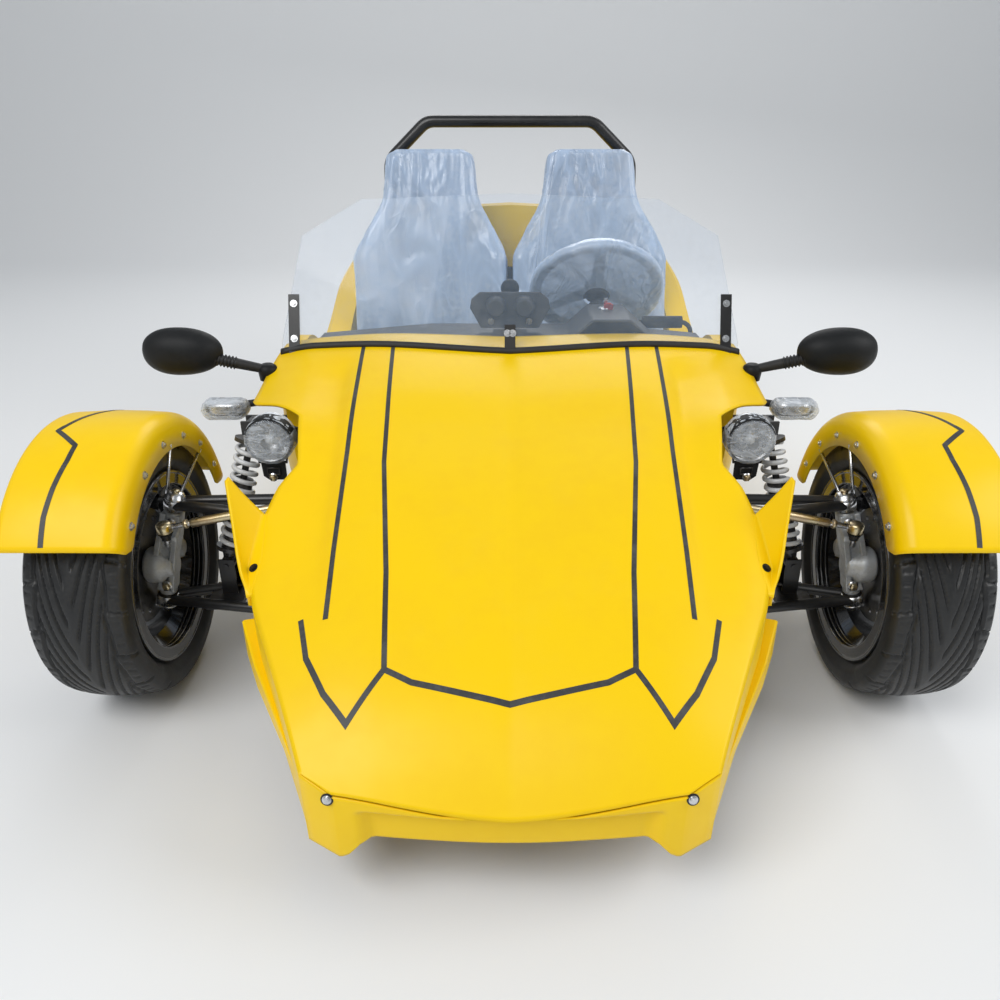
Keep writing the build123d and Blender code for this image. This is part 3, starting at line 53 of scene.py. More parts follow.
# sign of x, name and body ending of each side; the front wheels' and the rear wheel's centres
bothSides = ((1, "Left"), (-1, "Right"))
frontHub = (780, -750, 265.5)
rearHub = (0, 1050, 300)
print("frame loaded", len(nodes), "nodes")


# Small helpers

def at(x, y, z):
    return Vector((x, y, z)) / 1000


def sidePoint(point, side):
    # a point of the left side in millimetres, on either side in metres
    return at(point[0] * side, point[1], point[2])


def lerp(a, b, t):
    return a + (b - a) * t


def clamp(t, low=0.0, high=1.0):
    return max(low, min(high, t))


def smoothStep(t):
    t = clamp(t)
    return t * t * (3 - 2 * t)


def easedValue(table, t):
    # smooth value through (t, value) pairs, without overshoot between them
    if t <= table[0][0]:
        return table[0][1]
    if t >= table[-1][0]:
        return table[-1][1]
    slopes = []
    for (a, va), (b, vb) in zip(table, table[1:]):
        slopes.append((vb - va) / (b - a))
    tangents = [slopes[0]]
    for left, right in zip(slopes, slopes[1:]):
        tangents.append(0.0 if left * right <= 0 else 2 * left * right / (left + right))
    tangents.append(slopes[-1])
    for i in range(len(table) - 1):
        a, va = table[i]
        b, vb = table[i + 1]
        if t <= b:
            step = b - a
            s = (t - a) / step
            return (
                va * (1 + 2 * s) * (1 - s) ** 2
                + tangents[i] * step * s * (1 - s) ** 2
                + vb * s * s * (3 - 2 * s)
                + tangents[i + 1] * step * s * s * (s - 1)
            )


def straightValue(table, t):
    if t <= table[0][0]:
        return table[0][1]
    for (a, va), (b, vb) in zip(table, table[1:]):
        if t <= b:
            return va + (vb - va) * (t - a) / (b - a)
    return table[-1][1]


def routeTables(points):
    # the length run up to each point of a flat route, then a table of each coordinate against it
    lengths = [0]
    for (a0, b0), (a1, b1) in zip(points, points[1:]):
        lengths.append(lengths[-1] + math.hypot(a1 - a0, b1 - b0))
    first, second = ([(run, point[k]) for run, point in zip(lengths, points)] for k in (0, 1))
    return lengths, first, second


def gridFaces(rows, columns, closeRows=False, closeColumns=False, capped=False):
    faces = []
    for i in range(rows if closeRows else rows - 1):
        for j in range(columns if closeColumns else columns - 1):
            a = i * columns + j
            b = i * columns + (j + 1) % columns
            c = ((i + 1) % rows) * columns + (j + 1) % columns
            d = ((i + 1) % rows) * columns + j
            faces.append((a, b, c, d))
    if capped:
        faces.append(tuple(range(columns))[::-1])
        faces.append(tuple(range((rows - 1) * columns, rows * columns)))
    return faces


def circle(count):
    # (cosine, sine) pairs round a circle
    angles = [2 * math.pi * i / count for i in range(count)]
    return [(math.cos(angle), math.sin(angle)) for angle in angles]


def rounded(value, power):
    # a cosine or sine drawn towards its ends, for a squarer section
    return math.copysign(abs(value) ** power, value)


def rod(low, high, radius):
    # profile of a plain round bar
    return [(low, 0.0), (low, radius), (high, radius), (high, 0.0)]


def linked(name, data):
    obj = bpy.data.objects.new(name, data)
    bpy.context.scene.collection.objects.link(obj)
    return obj


def allSmooth(obj):
    obj.data.polygons.foreach_set("use_smooth", [True] * len(obj.data.polygons))
    return obj


def quadsSmooth(obj):
    for polygon in obj.data.polygons:
        polygon.use_smooth = len(polygon.vertices) == 4
    return obj


def newObject(name, points, faces, smooth=True):
    mesh = bpy.data.meshes.new(name)
    mesh.from_pydata([tuple(p) for p in points], [], faces)
    mesh.update()
    obj = linked(name, mesh)
    return allSmooth(obj) if smooth else obj


def cleanNormals(obj, mergeBy=0.00001):
    work = bmesh.new()
    work.from_mesh(obj.data)
    bmesh.ops.remove_doubles(work, verts=work.verts, dist=mergeBy)
    bmesh.ops.recalc_face_normals(work, faces=work.faces)
    work.to_mesh(obj.data)
    work.free()


def cleanObject(name, points, faces, smooth=True):
    obj = newObject(name, points, faces, smooth)
    cleanNormals(obj)
    return obj


def facing(obj, direction):
    # an open skin, turned over where its outer side looks the other way
    if sum(face.normal.dot(Vector(direction)) for face in obj.data.polygons) < 0:
        obj.data.flip_normals()
    return obj


def joined(name, objects):
    # one object from several, all at the origin, keeping each one's material
    work = bmesh.new()
    slots = []
    for obj in objects:
        start = len(work.faces)
        work.from_mesh(obj.data)
        work.faces.ensure_lookup_table()
        material = obj.data.materials[0] if obj.data.materials else None
        if material not in slots:
            slots.append(material)
        for face in work.faces[start:]:
            face.material_index = slots.index(material)
    mesh = bpy.data.meshes.new(name)
    work.to_mesh(mesh)
    work.free()
    for material in slots:
        if material:
            mesh.materials.append(material)
    for obj in objects:
        bpy.data.objects.remove(obj)
    return linked(name, mesh)


def baked(obj):
    # the evaluated object as a plain mesh, with its modifiers gone
    bpy.context.view_layer.update()
    depsgraph = bpy.context.evaluated_depsgraph_get()
    mesh = bpy.data.meshes.new_from_object(obj.evaluated_get(depsgraph))
    obj.modifiers.clear()
    old = obj.data
    obj.data = mesh
    mesh.name = obj.name
    if old.users == 0:
        bpy.data.meshes.remove(old)
    return obj


def addModifier(obj, kind, **values):
    modifier = obj.modifiers.new(kind.title(), kind)
    for key, value in values.items():
        setattr(modifier, key, value)
    return modifier


def subdivided(obj, levels):
    addModifier(obj, "SUBSURF", levels=levels, render_levels=levels)
    return baked(obj)


def softened(obj, width, segments=2):
    addModifier(
        obj, "BEVEL", width=width / 1000, segments=segments, limit_method="ANGLE",
        angle_limit=math.radians(35), harden_normals=False,
    )
    return baked(obj)


def walled(obj, thickness, offset=-1):
    addModifier(obj, "SOLIDIFY", thickness=thickness / 1000, offset=offset, use_even_offset=False)
    return baked(obj)


def frameAlong(direction):
    # two unit vectors across a direction
    direction = direction.normalized()
    side = direction.cross(Vector((0, 0, 1)))
    if side.length < 0.05:
        side = direction.cross(Vector((0, 1, 0)))
    side.normalize()
    return side, side.cross(direction).normalized()


def roundedPath(points, bend, steps=6):
    # the same run with each inner corner turned into an arc of points
    result = [Vector(points[0])]
    for before, corner, after in zip(points, points[1:], points[2:]):
        corner = Vector(corner)
        back = (Vector(before) - corner)
        on = (Vector(after) - corner)
        cut = min(bend, back.length * 0.45, on.length * 0.45)
        start = corner + back.normalized() * cut
        end = corner + on.normalized() * cut
        for i in range(steps + 1):
            t = i / steps
            result.append(start * (1 - t) ** 2 + corner * 2 * t * (1 - t) + end * t * t)
    result.append(Vector(points[-1]))
    return result


def tubeObject(name, path, radius, sides=16):
    # tube along a path in metres; radius is one value or a function of the share of the path
    path = [Vector(p) for p in path]
    points = []
    across, up = frameAlong(path[1] - path[0])
    for i, p in enumerate(path):
        ahead = path[min(i + 1, len(path) - 1)] - path[max(i - 1, 0)]
        ahead.normalize()
        across = (across - ahead * across.dot(ahead)).normalized()
        up = across.cross(ahead)
        r = radius(i / (len(path) - 1)) if callable(radius) else radius
        for c, s in circle(sides):
            points.append(p + across * c * r + up * s * r)
    return cleanObject(name, points, gridFaces(len(path), sides, closeColumns=True, capped=True))


def turnedObject(name, profile, origin, axis, sides=48, across=None):
    # profile points are (distance along the axis, radius), in metres
    axis = Vector(axis).normalized()
    side = Vector(across) if across else frameAlong(axis)[0]
    up = axis.cross(side)
    points = []
    for c, s in circle(sides):
        out = side * c + up * s
        points += [Vector(origin) + axis * along + out * radius for along, radius in profile]
    return cleanObject(name, points, gridFaces(sides, len(profile), closeRows=True))


def flatPlate(name, outline, origin, across, up, thickness):
    # plate with an outline in its own plane, in millimetres
    across = Vector(across).normalized()
    up = Vector(up).normalized()
    out = across.cross(up).normalized()
    points = []
    for shift in (0, thickness / 1000):
        for x, z in outline:
            points.append(Vector(origin) + across * x / 1000 + up * z / 1000 + out * shift)
    n = len(outline)
    faces = [tuple(range(n))[::-1], tuple(range(n, 2 * n))]
    faces += [(i, (i + 1) % n, n + (i + 1) % n, n + i) for i in range(n)]
    return cleanObject(name, points, faces, smooth=False)


def setMaterial(obj, material):
    obj.data.materials.clear()
    obj.data.materials.append(material)
    return obj


def painted(objects, material):
    return [setMaterial(obj, material) for obj in objects]


def turned(material, profile, origin, axis, sides):
    return setMaterial(turnedObject("turned", profile, origin, axis, sides), material)


def hexNut(material, centre, direction, across, height):
    # across the flats and height in millimetres
    reach = across / 2000 / math.cos(math.pi / 6)
    profile = [
        (0, 0), (0, reach * 0.92), (height * 0.12 / 1000, reach), (height * 0.88 / 1000, reach),
        (height / 1000, reach * 0.92), (height / 1000, 0),
    ]
    return turned(material, profile, centre, direction, 6)


def piece(obj, body, material=None, replaces=()):
    if material:
        setMaterial(obj, material)
    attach(obj, body)
    if replaces:
        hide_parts(*replaces)
    return obj


# Shader node groups: each gives only colours, masks, values or normals

def newGroup(name, inputs, outputs):
    group = bpy.data.node_groups.new(name, "ShaderNodeTree")
    for label, kind, value in inputs:
        socket = group.interface.new_socket(label, in_out="INPUT", socket_type=kind)
        socket.default_value = value
    for label, kind in outputs:
        group.interface.new_socket(label, in_out="OUTPUT", socket_type=kind)
    start = group.nodes.new("NodeGroupInput")
    end = group.nodes.new("NodeGroupOutput")
    coordinates = group.nodes.new("ShaderNodeTexCoord")
    return group, start, end, coordinates.outputs["Object"]


def noiseIn(tree, vector, scale, detail=4, roughness=0.55):
    node = tree.nodes.new("ShaderNodeTexNoise")
    node.inputs["Detail"].default_value = detail
    node.inputs["Roughness"].default_value = roughness
    tree.links.new(vector, node.inputs["Vector"])
    if isinstance(scale, (int, float)):
        node.inputs["Scale"].default_value = scale
    else:
        tree.links.new(scale, node.inputs["Scale"])
    return node.outputs["Fac"]


def rangeOf(tree, value, fromLow, fromHigh, toLow, toHigh, smooth=False):
    node = tree.nodes.new("ShaderNodeMapRange")
    if smooth:
        node.interpolation_type = "SMOOTHSTEP"
    tree.links.new(value, node.inputs["Value"])
    for label, number in (
        ("From Min", fromLow), ("From Max", fromHigh), ("To Min", toLow), ("To Max", toHigh),
    ):
        if isinstance(number, (int, float)):
            node.inputs[label].default_value = number
        else:
            tree.links.new(number, node.inputs[label])
    return node.outputs["Result"]


def mixedColour(tree, share, first, second):
    node = tree.nodes.new("ShaderNodeMix")
    node.data_type = "RGBA"
    sockets = {"share": node.inputs[0], "first": node.inputs[6], "second": node.inputs[7]}
    for key, value in (("share", share), ("first", first), ("second", second)):
        if isinstance(value, (int, float)):
            sockets[key].default_value = value
        elif isinstance(value, (tuple, list)):
            sockets[key].default_value = (*value[:3], 1)
        else:
            tree.links.new(value, sockets[key])
    return node.outputs[2]


def mathOf(tree, operation, first, second=0.0):
    node = tree.nodes.new("ShaderNodeMath")
    node.operation = operation
    for socket, value in zip(node.inputs, (first, second)):
        if isinstance(value, (int, float)):
            socket.default_value = value
        else:
            tree.links.new(value, socket)
    return node.outputs[0]


def buildMottle():
    # broad and fine unevenness, as a colour and as a roughness
    group, start, end, place = newGroup(
        "mottle",
        [
            ("Colour", "NodeSocketColor", (1, 1, 1, 1)), ("Worn Colour", "NodeSocketColor", (1, 1, 1, 1)),
            ("Amount", "NodeSocketFloat", 0.2), ("Scale", "NodeSocketFloat", 8.0),
            ("Roughness Low", "NodeSocketFloat", 0.3), ("Roughness High", "NodeSocketFloat", 0.5),
        ],
        [("Colour", "NodeSocketColor"), ("Roughness", "NodeSocketFloat"), ("Mask", "NodeSocketFloat")],
    )
    broad = noiseIn(group, place, start.outputs["Scale"], 5, 0.6)
    fine = noiseIn(group, place, mathOf(group, "MULTIPLY", start.outputs["Scale"], 9.0), 3, 0.5)
    both = mathOf(group, "ADD", mathOf(group, "MULTIPLY", broad, 0.7), mathOf(group, "MULTIPLY", fine, 0.3))
    mask = rangeOf(group, both, 0.42, 0.66, 0.0, 1.0, True)
    share = mathOf(group, "MULTIPLY", mask, start.outputs["Amount"])
    colour = mixedColour(group, share, start.outputs["Colour"], start.outputs["Worn Colour"])
    group.links.new(colour, end.inputs["Colour"])
    group.links.new(
        rangeOf(group, both, 0.35, 0.65, start.outputs["Roughness Low"], start.outputs["Roughness High"]),
        end.inputs["Roughness"],
    )
    group.links.new(mask, end.inputs["Mask"])
    return group


def buildGrain():
    # small bumps of a cast, moulded or coated surface, as a normal
    group, start, end, place = newGroup(
        "grain",
        [
            ("Scale", "NodeSocketFloat", 300.0), ("Strength", "NodeSocketFloat", 0.2),
            ("Depth", "NodeSocketFloat", 0.001),
        ],
        [("Normal", "NodeSocketVector"), ("Height", "NodeSocketFloat")],
    )
    height = noiseIn(group, place, start.outputs["Scale"], 2, 0.5)
    bump = group.nodes.new("ShaderNodeBump")
    group.links.new(height, bump.inputs["Height"])
    group.links.new(start.outputs["Strength"], bump.inputs["Strength"])
    group.links.new(start.outputs["Depth"], bump.inputs["Distance"])
    group.links.new(bump.outputs["Normal"], end.inputs["Normal"])
    group.links.new(height, end.inputs["Height"])
    return group


def buildDust():
    # road dust and dried water marks that lie on upward faces
    group, start, end, place = newGroup(
        "dust",
        [("Amount", "NodeSocketFloat", 0.2), ("Scale", "NodeSocketFloat", 20.0)],
        [("Mask", "NodeSocketFloat")],
    )
    geometry = group.nodes.new("ShaderNodeNewGeometry")
    parts = group.nodes.new("ShaderNodeSeparateXYZ")
    group.links.new(geometry.outputs["Normal"], parts.inputs[0])
    upward = rangeOf(group, parts.outputs["Z"], 0.1, 0.95, 0.15, 1.0)
    speck = noiseIn(group, place, start.outputs["Scale"], 6, 0.7)
    mask = mathOf(group, "MULTIPLY", rangeOf(group, speck, 0.5, 0.72, 0.0, 1.0, True), upward)
    group.links.new(mathOf(group, "MULTIPLY", mask, start.outputs["Amount"]), end.inputs["Mask"])
    return group


def buildFolds():
    # creases of thin film pulled down a form: a ridge mask, which the clear films use to paint highlights
    # along the creases, and the bumps that go with it
    group, start, end, place = newGroup(
        "folds",
        [
            ("Scale", "NodeSocketFloat", 12.0), ("Stretch", "NodeSocketFloat", 0.3),
            ("Sharpness", "NodeSocketFloat", 9.0), ("Depth", "NodeSocketFloat", 0.006),
        ],
        [("Ridge", "NodeSocketFloat"), ("Normal", "NodeSocketVector")],
    )
    parts = group.nodes.new("ShaderNodeSeparateXYZ")
    group.links.new(place, parts.inputs[0])
    pulled = group.nodes.new("ShaderNodeCombineXYZ")
    group.links.new(parts.outputs["X"], pulled.inputs["X"])
    group.links.new(parts.outputs["Y"], pulled.inputs["Y"])
    group.links.new(
        mathOf(group, "MULTIPLY", parts.outputs["Z"], start.outputs["Stretch"]), pulled.inputs["Z"],
    )
    broad = noiseIn(group, pulled.outputs[0], start.outputs["Scale"], 2, 0.5)
    broad.node.inputs["Distortion"].default_value = 1.4
    fine = noiseIn(group, pulled.outputs[0], mathOf(group, "MULTIPLY", start.outputs["Scale"], 3.1), 2, 0.5)
    fine.node.inputs["Distortion"].default_value = 0.9
    ridges = []
    for value in (broad, fine):
        away = mathOf(group, "ABSOLUTE", mathOf(group, "SUBTRACT", value, 0.5))
        steep = mathOf(group, "MULTIPLY", away, start.outputs["Sharpness"])
        ridges.append(mathOf(group, "SUBTRACT", 1.0, mathOf(group, "MINIMUM", steep, 1.0)))
    ridge = mathOf(group, "MAXIMUM", ridges[0], mathOf(group, "MULTIPLY", ridges[1], 0.6))
    height = mathOf(
        group, "ADD", mathOf(group, "MULTIPLY", ridge, 0.5), mathOf(group, "MULTIPLY", broad, 1.5),
    )
    bump = group.nodes.new("ShaderNodeBump")
    group.links.new(height, bump.inputs["Height"])
    group.links.new(start.outputs["Depth"], bump.inputs["Distance"])
    bump.inputs["Strength"].default_value = 0.9
    group.links.new(ridge, end.inputs["Ridge"])
    group.links.new(bump.outputs["Normal"], end.inputs["Normal"])
    return group


mottle = buildMottle()
grain = buildGrain()
dust = buildDust()
folds = buildFolds()


def placed(tree, group, **values):
    node = tree.nodes.new("ShaderNodeGroup")
    node.node_tree = group
    for key, value in values.items():
        label = key.replace("_", " ")
        node.inputs[label].default_value = (*value[:3], 1) if isinstance(value, (tuple, list)) else value
    return node


def newMaterial(name, colour, worn, amount=0.3, scale=10, rough=(0.35, 0.5), metallic=0.0,
                grainScale=400, grainStrength=0.12, grainDepth=0.0006, coat=0.0, coatRough=0.1,
                dustAmount=0.12, dustColour=(0.42, 0.4, 0.36), ior=1.5, specular=0.5, alpha=None):
    material = bpy.data.materials.new(name)
    material.use_nodes = True
    tree = material.node_tree
    shader = tree.nodes["Principled BSDF"]
    shader.inputs["Metallic"].default_value = metallic
    shader.inputs["IOR"].default_value = ior
    shader.inputs["Specular IOR Level"].default_value = specular
    shader.inputs["Coat Weight"].default_value = coat
    shader.inputs["Coat Roughness"].default_value = coatRough
    uneven = placed(
        tree, mottle, Colour=colour, Worn_Colour=worn, Amount=amount, Scale=scale,
        Roughness_Low=rough[0], Roughness_High=rough[1],
    )
    bumps = placed(tree, grain, Scale=grainScale, Strength=grainStrength, Depth=grainDepth)
    film = placed(tree, dust, Amount=dustAmount, Scale=scale * 2.5)
    tree.links.new(
        mixedColour(tree, film.outputs["Mask"], uneven.outputs["Colour"], dustColour),
        shader.inputs["Base Color"],
    )
    tree.links.new(uneven.outputs["Roughness"], shader.inputs["Roughness"])
    tree.links.new(bumps.outputs["Normal"], shader.inputs["Normal"])
    if alpha is not None:
        shader.inputs["Alpha"].default_value = alpha
    return material


# Materials of this car
yellowPaint = newMaterial(
    "yellowPaint", (0.95, 0.62, 0.0005), (0.9, 0.54, 0.001), amount=0.35, scale=3.5, rough=(0.34, 0.46),
    coat=0.16, coatRough=0.26, grainScale=700, grainStrength=0.04, grainDepth=0.0003, dustAmount=0.03,
    dustColour=(0.75, 0.55, 0.12), specular=0.2,
)
tapeBlack = newMaterial(
    "tapeBlack", (0.03, 0.031, 0.033), (0.09, 0.09, 0.086), amount=0.6, scale=18, rough=(0.4, 0.6),
    grainScale=900, dustAmount=0.05,
)
frameBlack = newMaterial(
    "frameBlack", (0.009, 0.009, 0.01), (0.02, 0.02, 0.02), amount=0.5, scale=9, rough=(0.28, 0.45),
    coat=0.25, coatRough=0.2, grainScale=600, dustAmount=0.04,
)
rimBlack = newMaterial(
    "rimBlack", (0.004, 0.004, 0.0045), (0.01, 0.01, 0.01), amount=0.4, scale=14, rough=(0.14, 0.26),
    coat=0.8, coatRough=0.06, grainScale=500, dustAmount=0.02,
)
# lighter copy of the rim black for the rounded lips and ribs: the lift in colour is a painted highlight
rimEdgeHighlight = newMaterial(
    "rimEdgeHighlight", (0.03, 0.03, 0.032), (0.06, 0.06, 0.06), amount=0.3, scale=20, rough=(0.1, 0.18), coat=1.0,
    coatRough=0.04, dustAmount=0.0,
)
discSteel = newMaterial(
    "discSteel", (0.2, 0.2, 0.205), (0.34, 0.33, 0.32), amount=0.7, scale=26, rough=(0.25, 0.45),
    metallic=1.0, grainScale=900,
)
castGrey = newMaterial(
    "castGrey", (0.5, 0.525, 0.55), (0.34, 0.35, 0.36), amount=0.7, scale=22, rough=(0.36, 0.56),
    metallic=0.45, grainScale=420, grainStrength=0.35, grainDepth=0.0008, dustAmount=0.04,
)
zincGold = newMaterial(
    "zincGold", (0.62, 0.54, 0.34), (0.5, 0.36, 0.24), amount=0.8, scale=40, rough=(0.22, 0.4),
    metallic=1.0, grainScale=900,
)
zincBright = newMaterial(
    "zincBright", (0.66, 0.67, 0.68), (0.48, 0.48, 0.49), amount=0.6, scale=60, rough=(0.18, 0.36),
    metallic=1.0, grainScale=900,
)
springWhite = newMaterial(
    "springWhite", (0.78, 0.8, 0.82), (0.55, 0.55, 0.54), amount=0.5, scale=30, rough=(0.25, 0.4), coat=0.4,
    grainScale=600,
)
damperBlack = newMaterial(
    "damperBlack", (0.022, 0.022, 0.024), (0.07, 0.07, 0.07), amount=0.5, scale=24, rough=(0.25, 0.4),
    coat=0.3,
)
plasticBlack = newMaterial(
    "plasticBlack", (0.009, 0.01, 0.011), (0.018, 0.018, 0.019), amount=0.5, scale=12, rough=(0.42, 0.58),
    grainScale=1200, grainStrength=0.3, dustAmount=0.0, specular=0.22,
)
plasticGrey = newMaterial(
    "plasticGrey", (0.05, 0.054, 0.06), (0.1, 0.1, 0.1), amount=0.5, scale=14, rough=(0.4, 0.6),
    grainScale=1000, grainStrength=0.3,
)
rubberBlack = newMaterial(
    "rubberBlack", (0.012, 0.012, 0.013), (0.03, 0.03, 0.029), amount=0.5, scale=25, rough=(0.5, 0.7),
    grainScale=500, grainStrength=0.3, dustAmount=0.04,
)
tyreBlack = newMaterial(
    "tyreBlack", (0.009, 0.0095, 0.01), (0.024, 0.024, 0.023), amount=0.5, scale=16, rough=(0.36, 0.56),
    grainScale=420, grainStrength=0.25, dustAmount=0.03,
)
seatVinyl = newMaterial(
    "seatVinyl", (0.016, 0.017, 0.02), (0.035, 0.036, 0.04), amount=0.5, scale=16, rough=(0.4, 0.58),
    coat=0.1, grainScale=650, grainStrength=0.45, grainDepth=0.001,
)
lensRed = newMaterial(
    "lensRed", (0.5, 0.008, 0.006), (0.3, 0.004, 0.004), amount=0.3, scale=60, rough=(0.08, 0.16), coat=1.0,
    coatRough=0.03,
)
engineGrey = newMaterial(
    "engineGrey", (0.2, 0.2, 0.21), (0.09, 0.088, 0.085), amount=0.7, scale=20, rough=(0.4, 0.6),
    metallic=0.8, grainScale=350, grainStrength=0.4, grainDepth=0.001,
)
exhaustSteel = newMaterial(
    "exhaustSteel", (0.5, 0.49, 0.47), (0.36, 0.3, 0.24), amount=0.6, scale=9, rough=(0.22, 0.4),
    metallic=1.0, grainScale=900,
)
chainSteel = newMaterial(
    "chainSteel", (0.26, 0.25, 0.24), (0.1, 0.09, 0.08), amount=0.7, scale=60, rough=(0.3, 0.5),
    metallic=1.0,
)
mirrorGlass = newMaterial(
    "mirrorGlass", (0.85, 0.86, 0.87), (0.8, 0.8, 0.8), amount=0.2, scale=6, rough=(0.03, 0.06),
    metallic=1.0, grainStrength=0.0, dustAmount=0.1,
)
keyRed = newMaterial(
    "keyRed", (0.55, 0.02, 0.02), (0.4, 0.02, 0.02), amount=0.4, scale=60, rough=(0.3, 0.5),
)


def clearMaterial(name, tint, alphaFace, alphaEdge, rough, wrinkleScale, wrinkleStrength, wrinkleDepth,
                  streaks=0.0, ior=1.49, stretch=None):
    # thin clear sheet: more visible where it turns away from the eye
    material = bpy.data.materials.new(name)
    material.use_nodes = True
    tree = material.node_tree
    shader = tree.nodes["Principled BSDF"]
    shader.inputs["IOR"].default_value = ior
    shader.inputs["Coat Weight"].default_value = 0.5
    shader.inputs["Coat Roughness"].default_value = 0.04
    uneven = placed(
        tree, mottle, Colour=tint, Worn_Colour=(0.9, 0.9, 0.9), Amount=0.25, Scale=7.0,
        Roughness_Low=rough[0], Roughness_High=rough[1],
    )
    tree.links.new(uneven.outputs["Colour"], shader.inputs["Base Color"])
    tree.links.new(uneven.outputs["Roughness"], shader.inputs["Roughness"])
    if stretch is None:
        bumps = placed(tree, grain, Scale=wrinkleScale, Strength=wrinkleStrength, Depth=wrinkleDepth)
        mask = uneven.outputs["Mask"]
    else:
        bumps = placed(tree, folds, Scale=wrinkleScale, Stretch=stretch, Depth=wrinkleDepth)
        mask = bumps.outputs["Ridge"]
    tree.links.new(bumps.outputs["Normal"], shader.inputs["Normal"])
    facing = tree.nodes.new("ShaderNodeLayerWeight")
    facing.inputs["Blend"].default_value = 0.45
    opacity = rangeOf(tree, facing.outputs["Facing"], 0.0, 1.0, alphaFace, alphaEdge)
    # with folds given, the opacity added along their ridges paints pale highlights on the creases; without
    # folds it is a random milky haze
    if streaks:
        hazeAndSheen = mathOf(tree, "MULTIPLY", mask, streaks)
        opacity = mathOf(tree, "MINIMUM", mathOf(tree, "ADD", opacity, hazeAndSheen), 1.0)
    tree.links.new(opacity, shader.inputs["Alpha"])
    return material


screenClear = clearMaterial(
    "screenClear", (0.46, 0.6, 0.8), 0.08, 0.5, (0.03, 0.08), 3.0, 0.05, 0.002, streaks=0.03,
)
# seat and wrap films: their streaks along the fold ridges are painted highlights
seatFilm = clearMaterial(
    "seatFilm", (0.5, 0.64, 0.86), 0.6, 0.96, (0.2, 0.36), 6.0, 0.9, 0.007, streaks=0.16, stretch=0.3,
)
wrapFilm = clearMaterial(
    "wrapFilm", (0.8, 0.86, 0.94), 0.05, 0.7, (0.04, 0.1), 16.0, 0.9, 0.005, streaks=0.28, stretch=2.6,
)
lampLens = clearMaterial("lampLens", (0.8, 0.84, 0.86), 0.12, 0.7, (0.02, 0.06), 60.0, 0.1, 0.001)

slotMaterials = {
    "body_yellow": yellowPaint, "frame_black": frameBlack, "tyre_rubber": tyreBlack, "rim_black": rimBlack,
    "disc_steel": discSteel, "cast_grey": castGrey, "zinc_gold": zincGold, "spring_white": springWhite,
    "damper_black": damperBlack, "screen_clear": screenClear, "plastic_black": plasticBlack,
    "plastic_grey": plasticGrey, "seat_black": seatVinyl, "lamp_clear": lampLens, "lamp_red": lensRed,
    "engine_grey": engineGrey, "exhaust_steel": exhaustSteel, "chain_steel": chainSteel,
}
for subpart in frame["record"]["subparts"]:
    setMaterial(nodes[subpart["node"]], slotMaterials[subpart["material_slot"]])
print("materials made", len(bpy.data.materials))


# Geometry Nodes: what the trees for bolts, springs and chain links share

def newTree(name, inputs):
    tree = bpy.data.node_groups.new(name, "GeometryNodeTree")
    for label, kind, value in inputs:
        socket = tree.interface.new_socket(label, in_out="INPUT", socket_type="NodeSocket" + kind)
        if value is not None:
            socket.default_value = value
    tree.interface.new_socket("Geometry", in_out="OUTPUT", socket_type="NodeSocketGeometry")
    return tree, tree.nodes.new("NodeGroupInput").outputs


def addNode(tree, kind, **inputs):
    # each input is a value or a socket to link; an underscore stands for a space
    node = tree.nodes.new(kind)
    for key, value in inputs.items():
        socket = node.inputs[key.replace("_", " ")]
        if isinstance(value, bpy.types.NodeSocket):
            tree.links.new(value, socket)
        else:
            socket.default_value = value
    return node


def upTo(tree, vector):
    # rotation that turns +Z to a vector
    node = addNode(tree, "FunctionNodeAlignRotationToVector", Vector=vector)
    node.axis = "Z"
    return node.outputs[0]


def pointVector(tree, name):
    # a vector kept with each point
    node = addNode(tree, "GeometryNodeInputNamedAttribute", Name=name)
    node.data_type = "FLOAT_VECTOR"
    return node.outputs["Attribute"]


def joinedShapes(tree, shapes):
    node = tree.nodes.new("GeometryNodeJoinGeometry")
    for shape in shapes:
        tree.links.new(shape, node.inputs[0])
    return node.outputs[0]


def finishTree(tree, geometry, material):
    real = addNode(tree, "GeometryNodeRealizeInstances", Geometry=geometry)
    done = addNode(tree, "GeometryNodeSetMaterial", Geometry=real.outputs[0], Material=material)
    tree.links.new(done.outputs[0], tree.nodes.new("NodeGroupOutput").inputs[0])
    return tree


def runTree(obj, tree, values):
    # the tree's result as a plain mesh; inputs are set by their identifiers
    modifier = obj.modifiers.new(tree.name, "NODES")
    modifier.node_group = tree
    for item in tree.interface.items_tree:
        if item.item_type == "SOCKET" and item.in_out == "INPUT" and item.name in values:
            modifier[item.identifier] = values[item.name]
    return baked(obj)


def pointObject(name, places, attribute, vectors):
    # bare points, each with a vector
    mesh = bpy.data.meshes.new(name)
    mesh.from_pydata([tuple(p) for p in places], [], [])
    layer = mesh.attributes.new(attribute, "FLOAT_VECTOR", "POINT")
    for item, vector in zip(layer.data, vectors):
        item.vector = vector
    return linked(name, mesh)


# Screws and bolts: one tree for every row of them

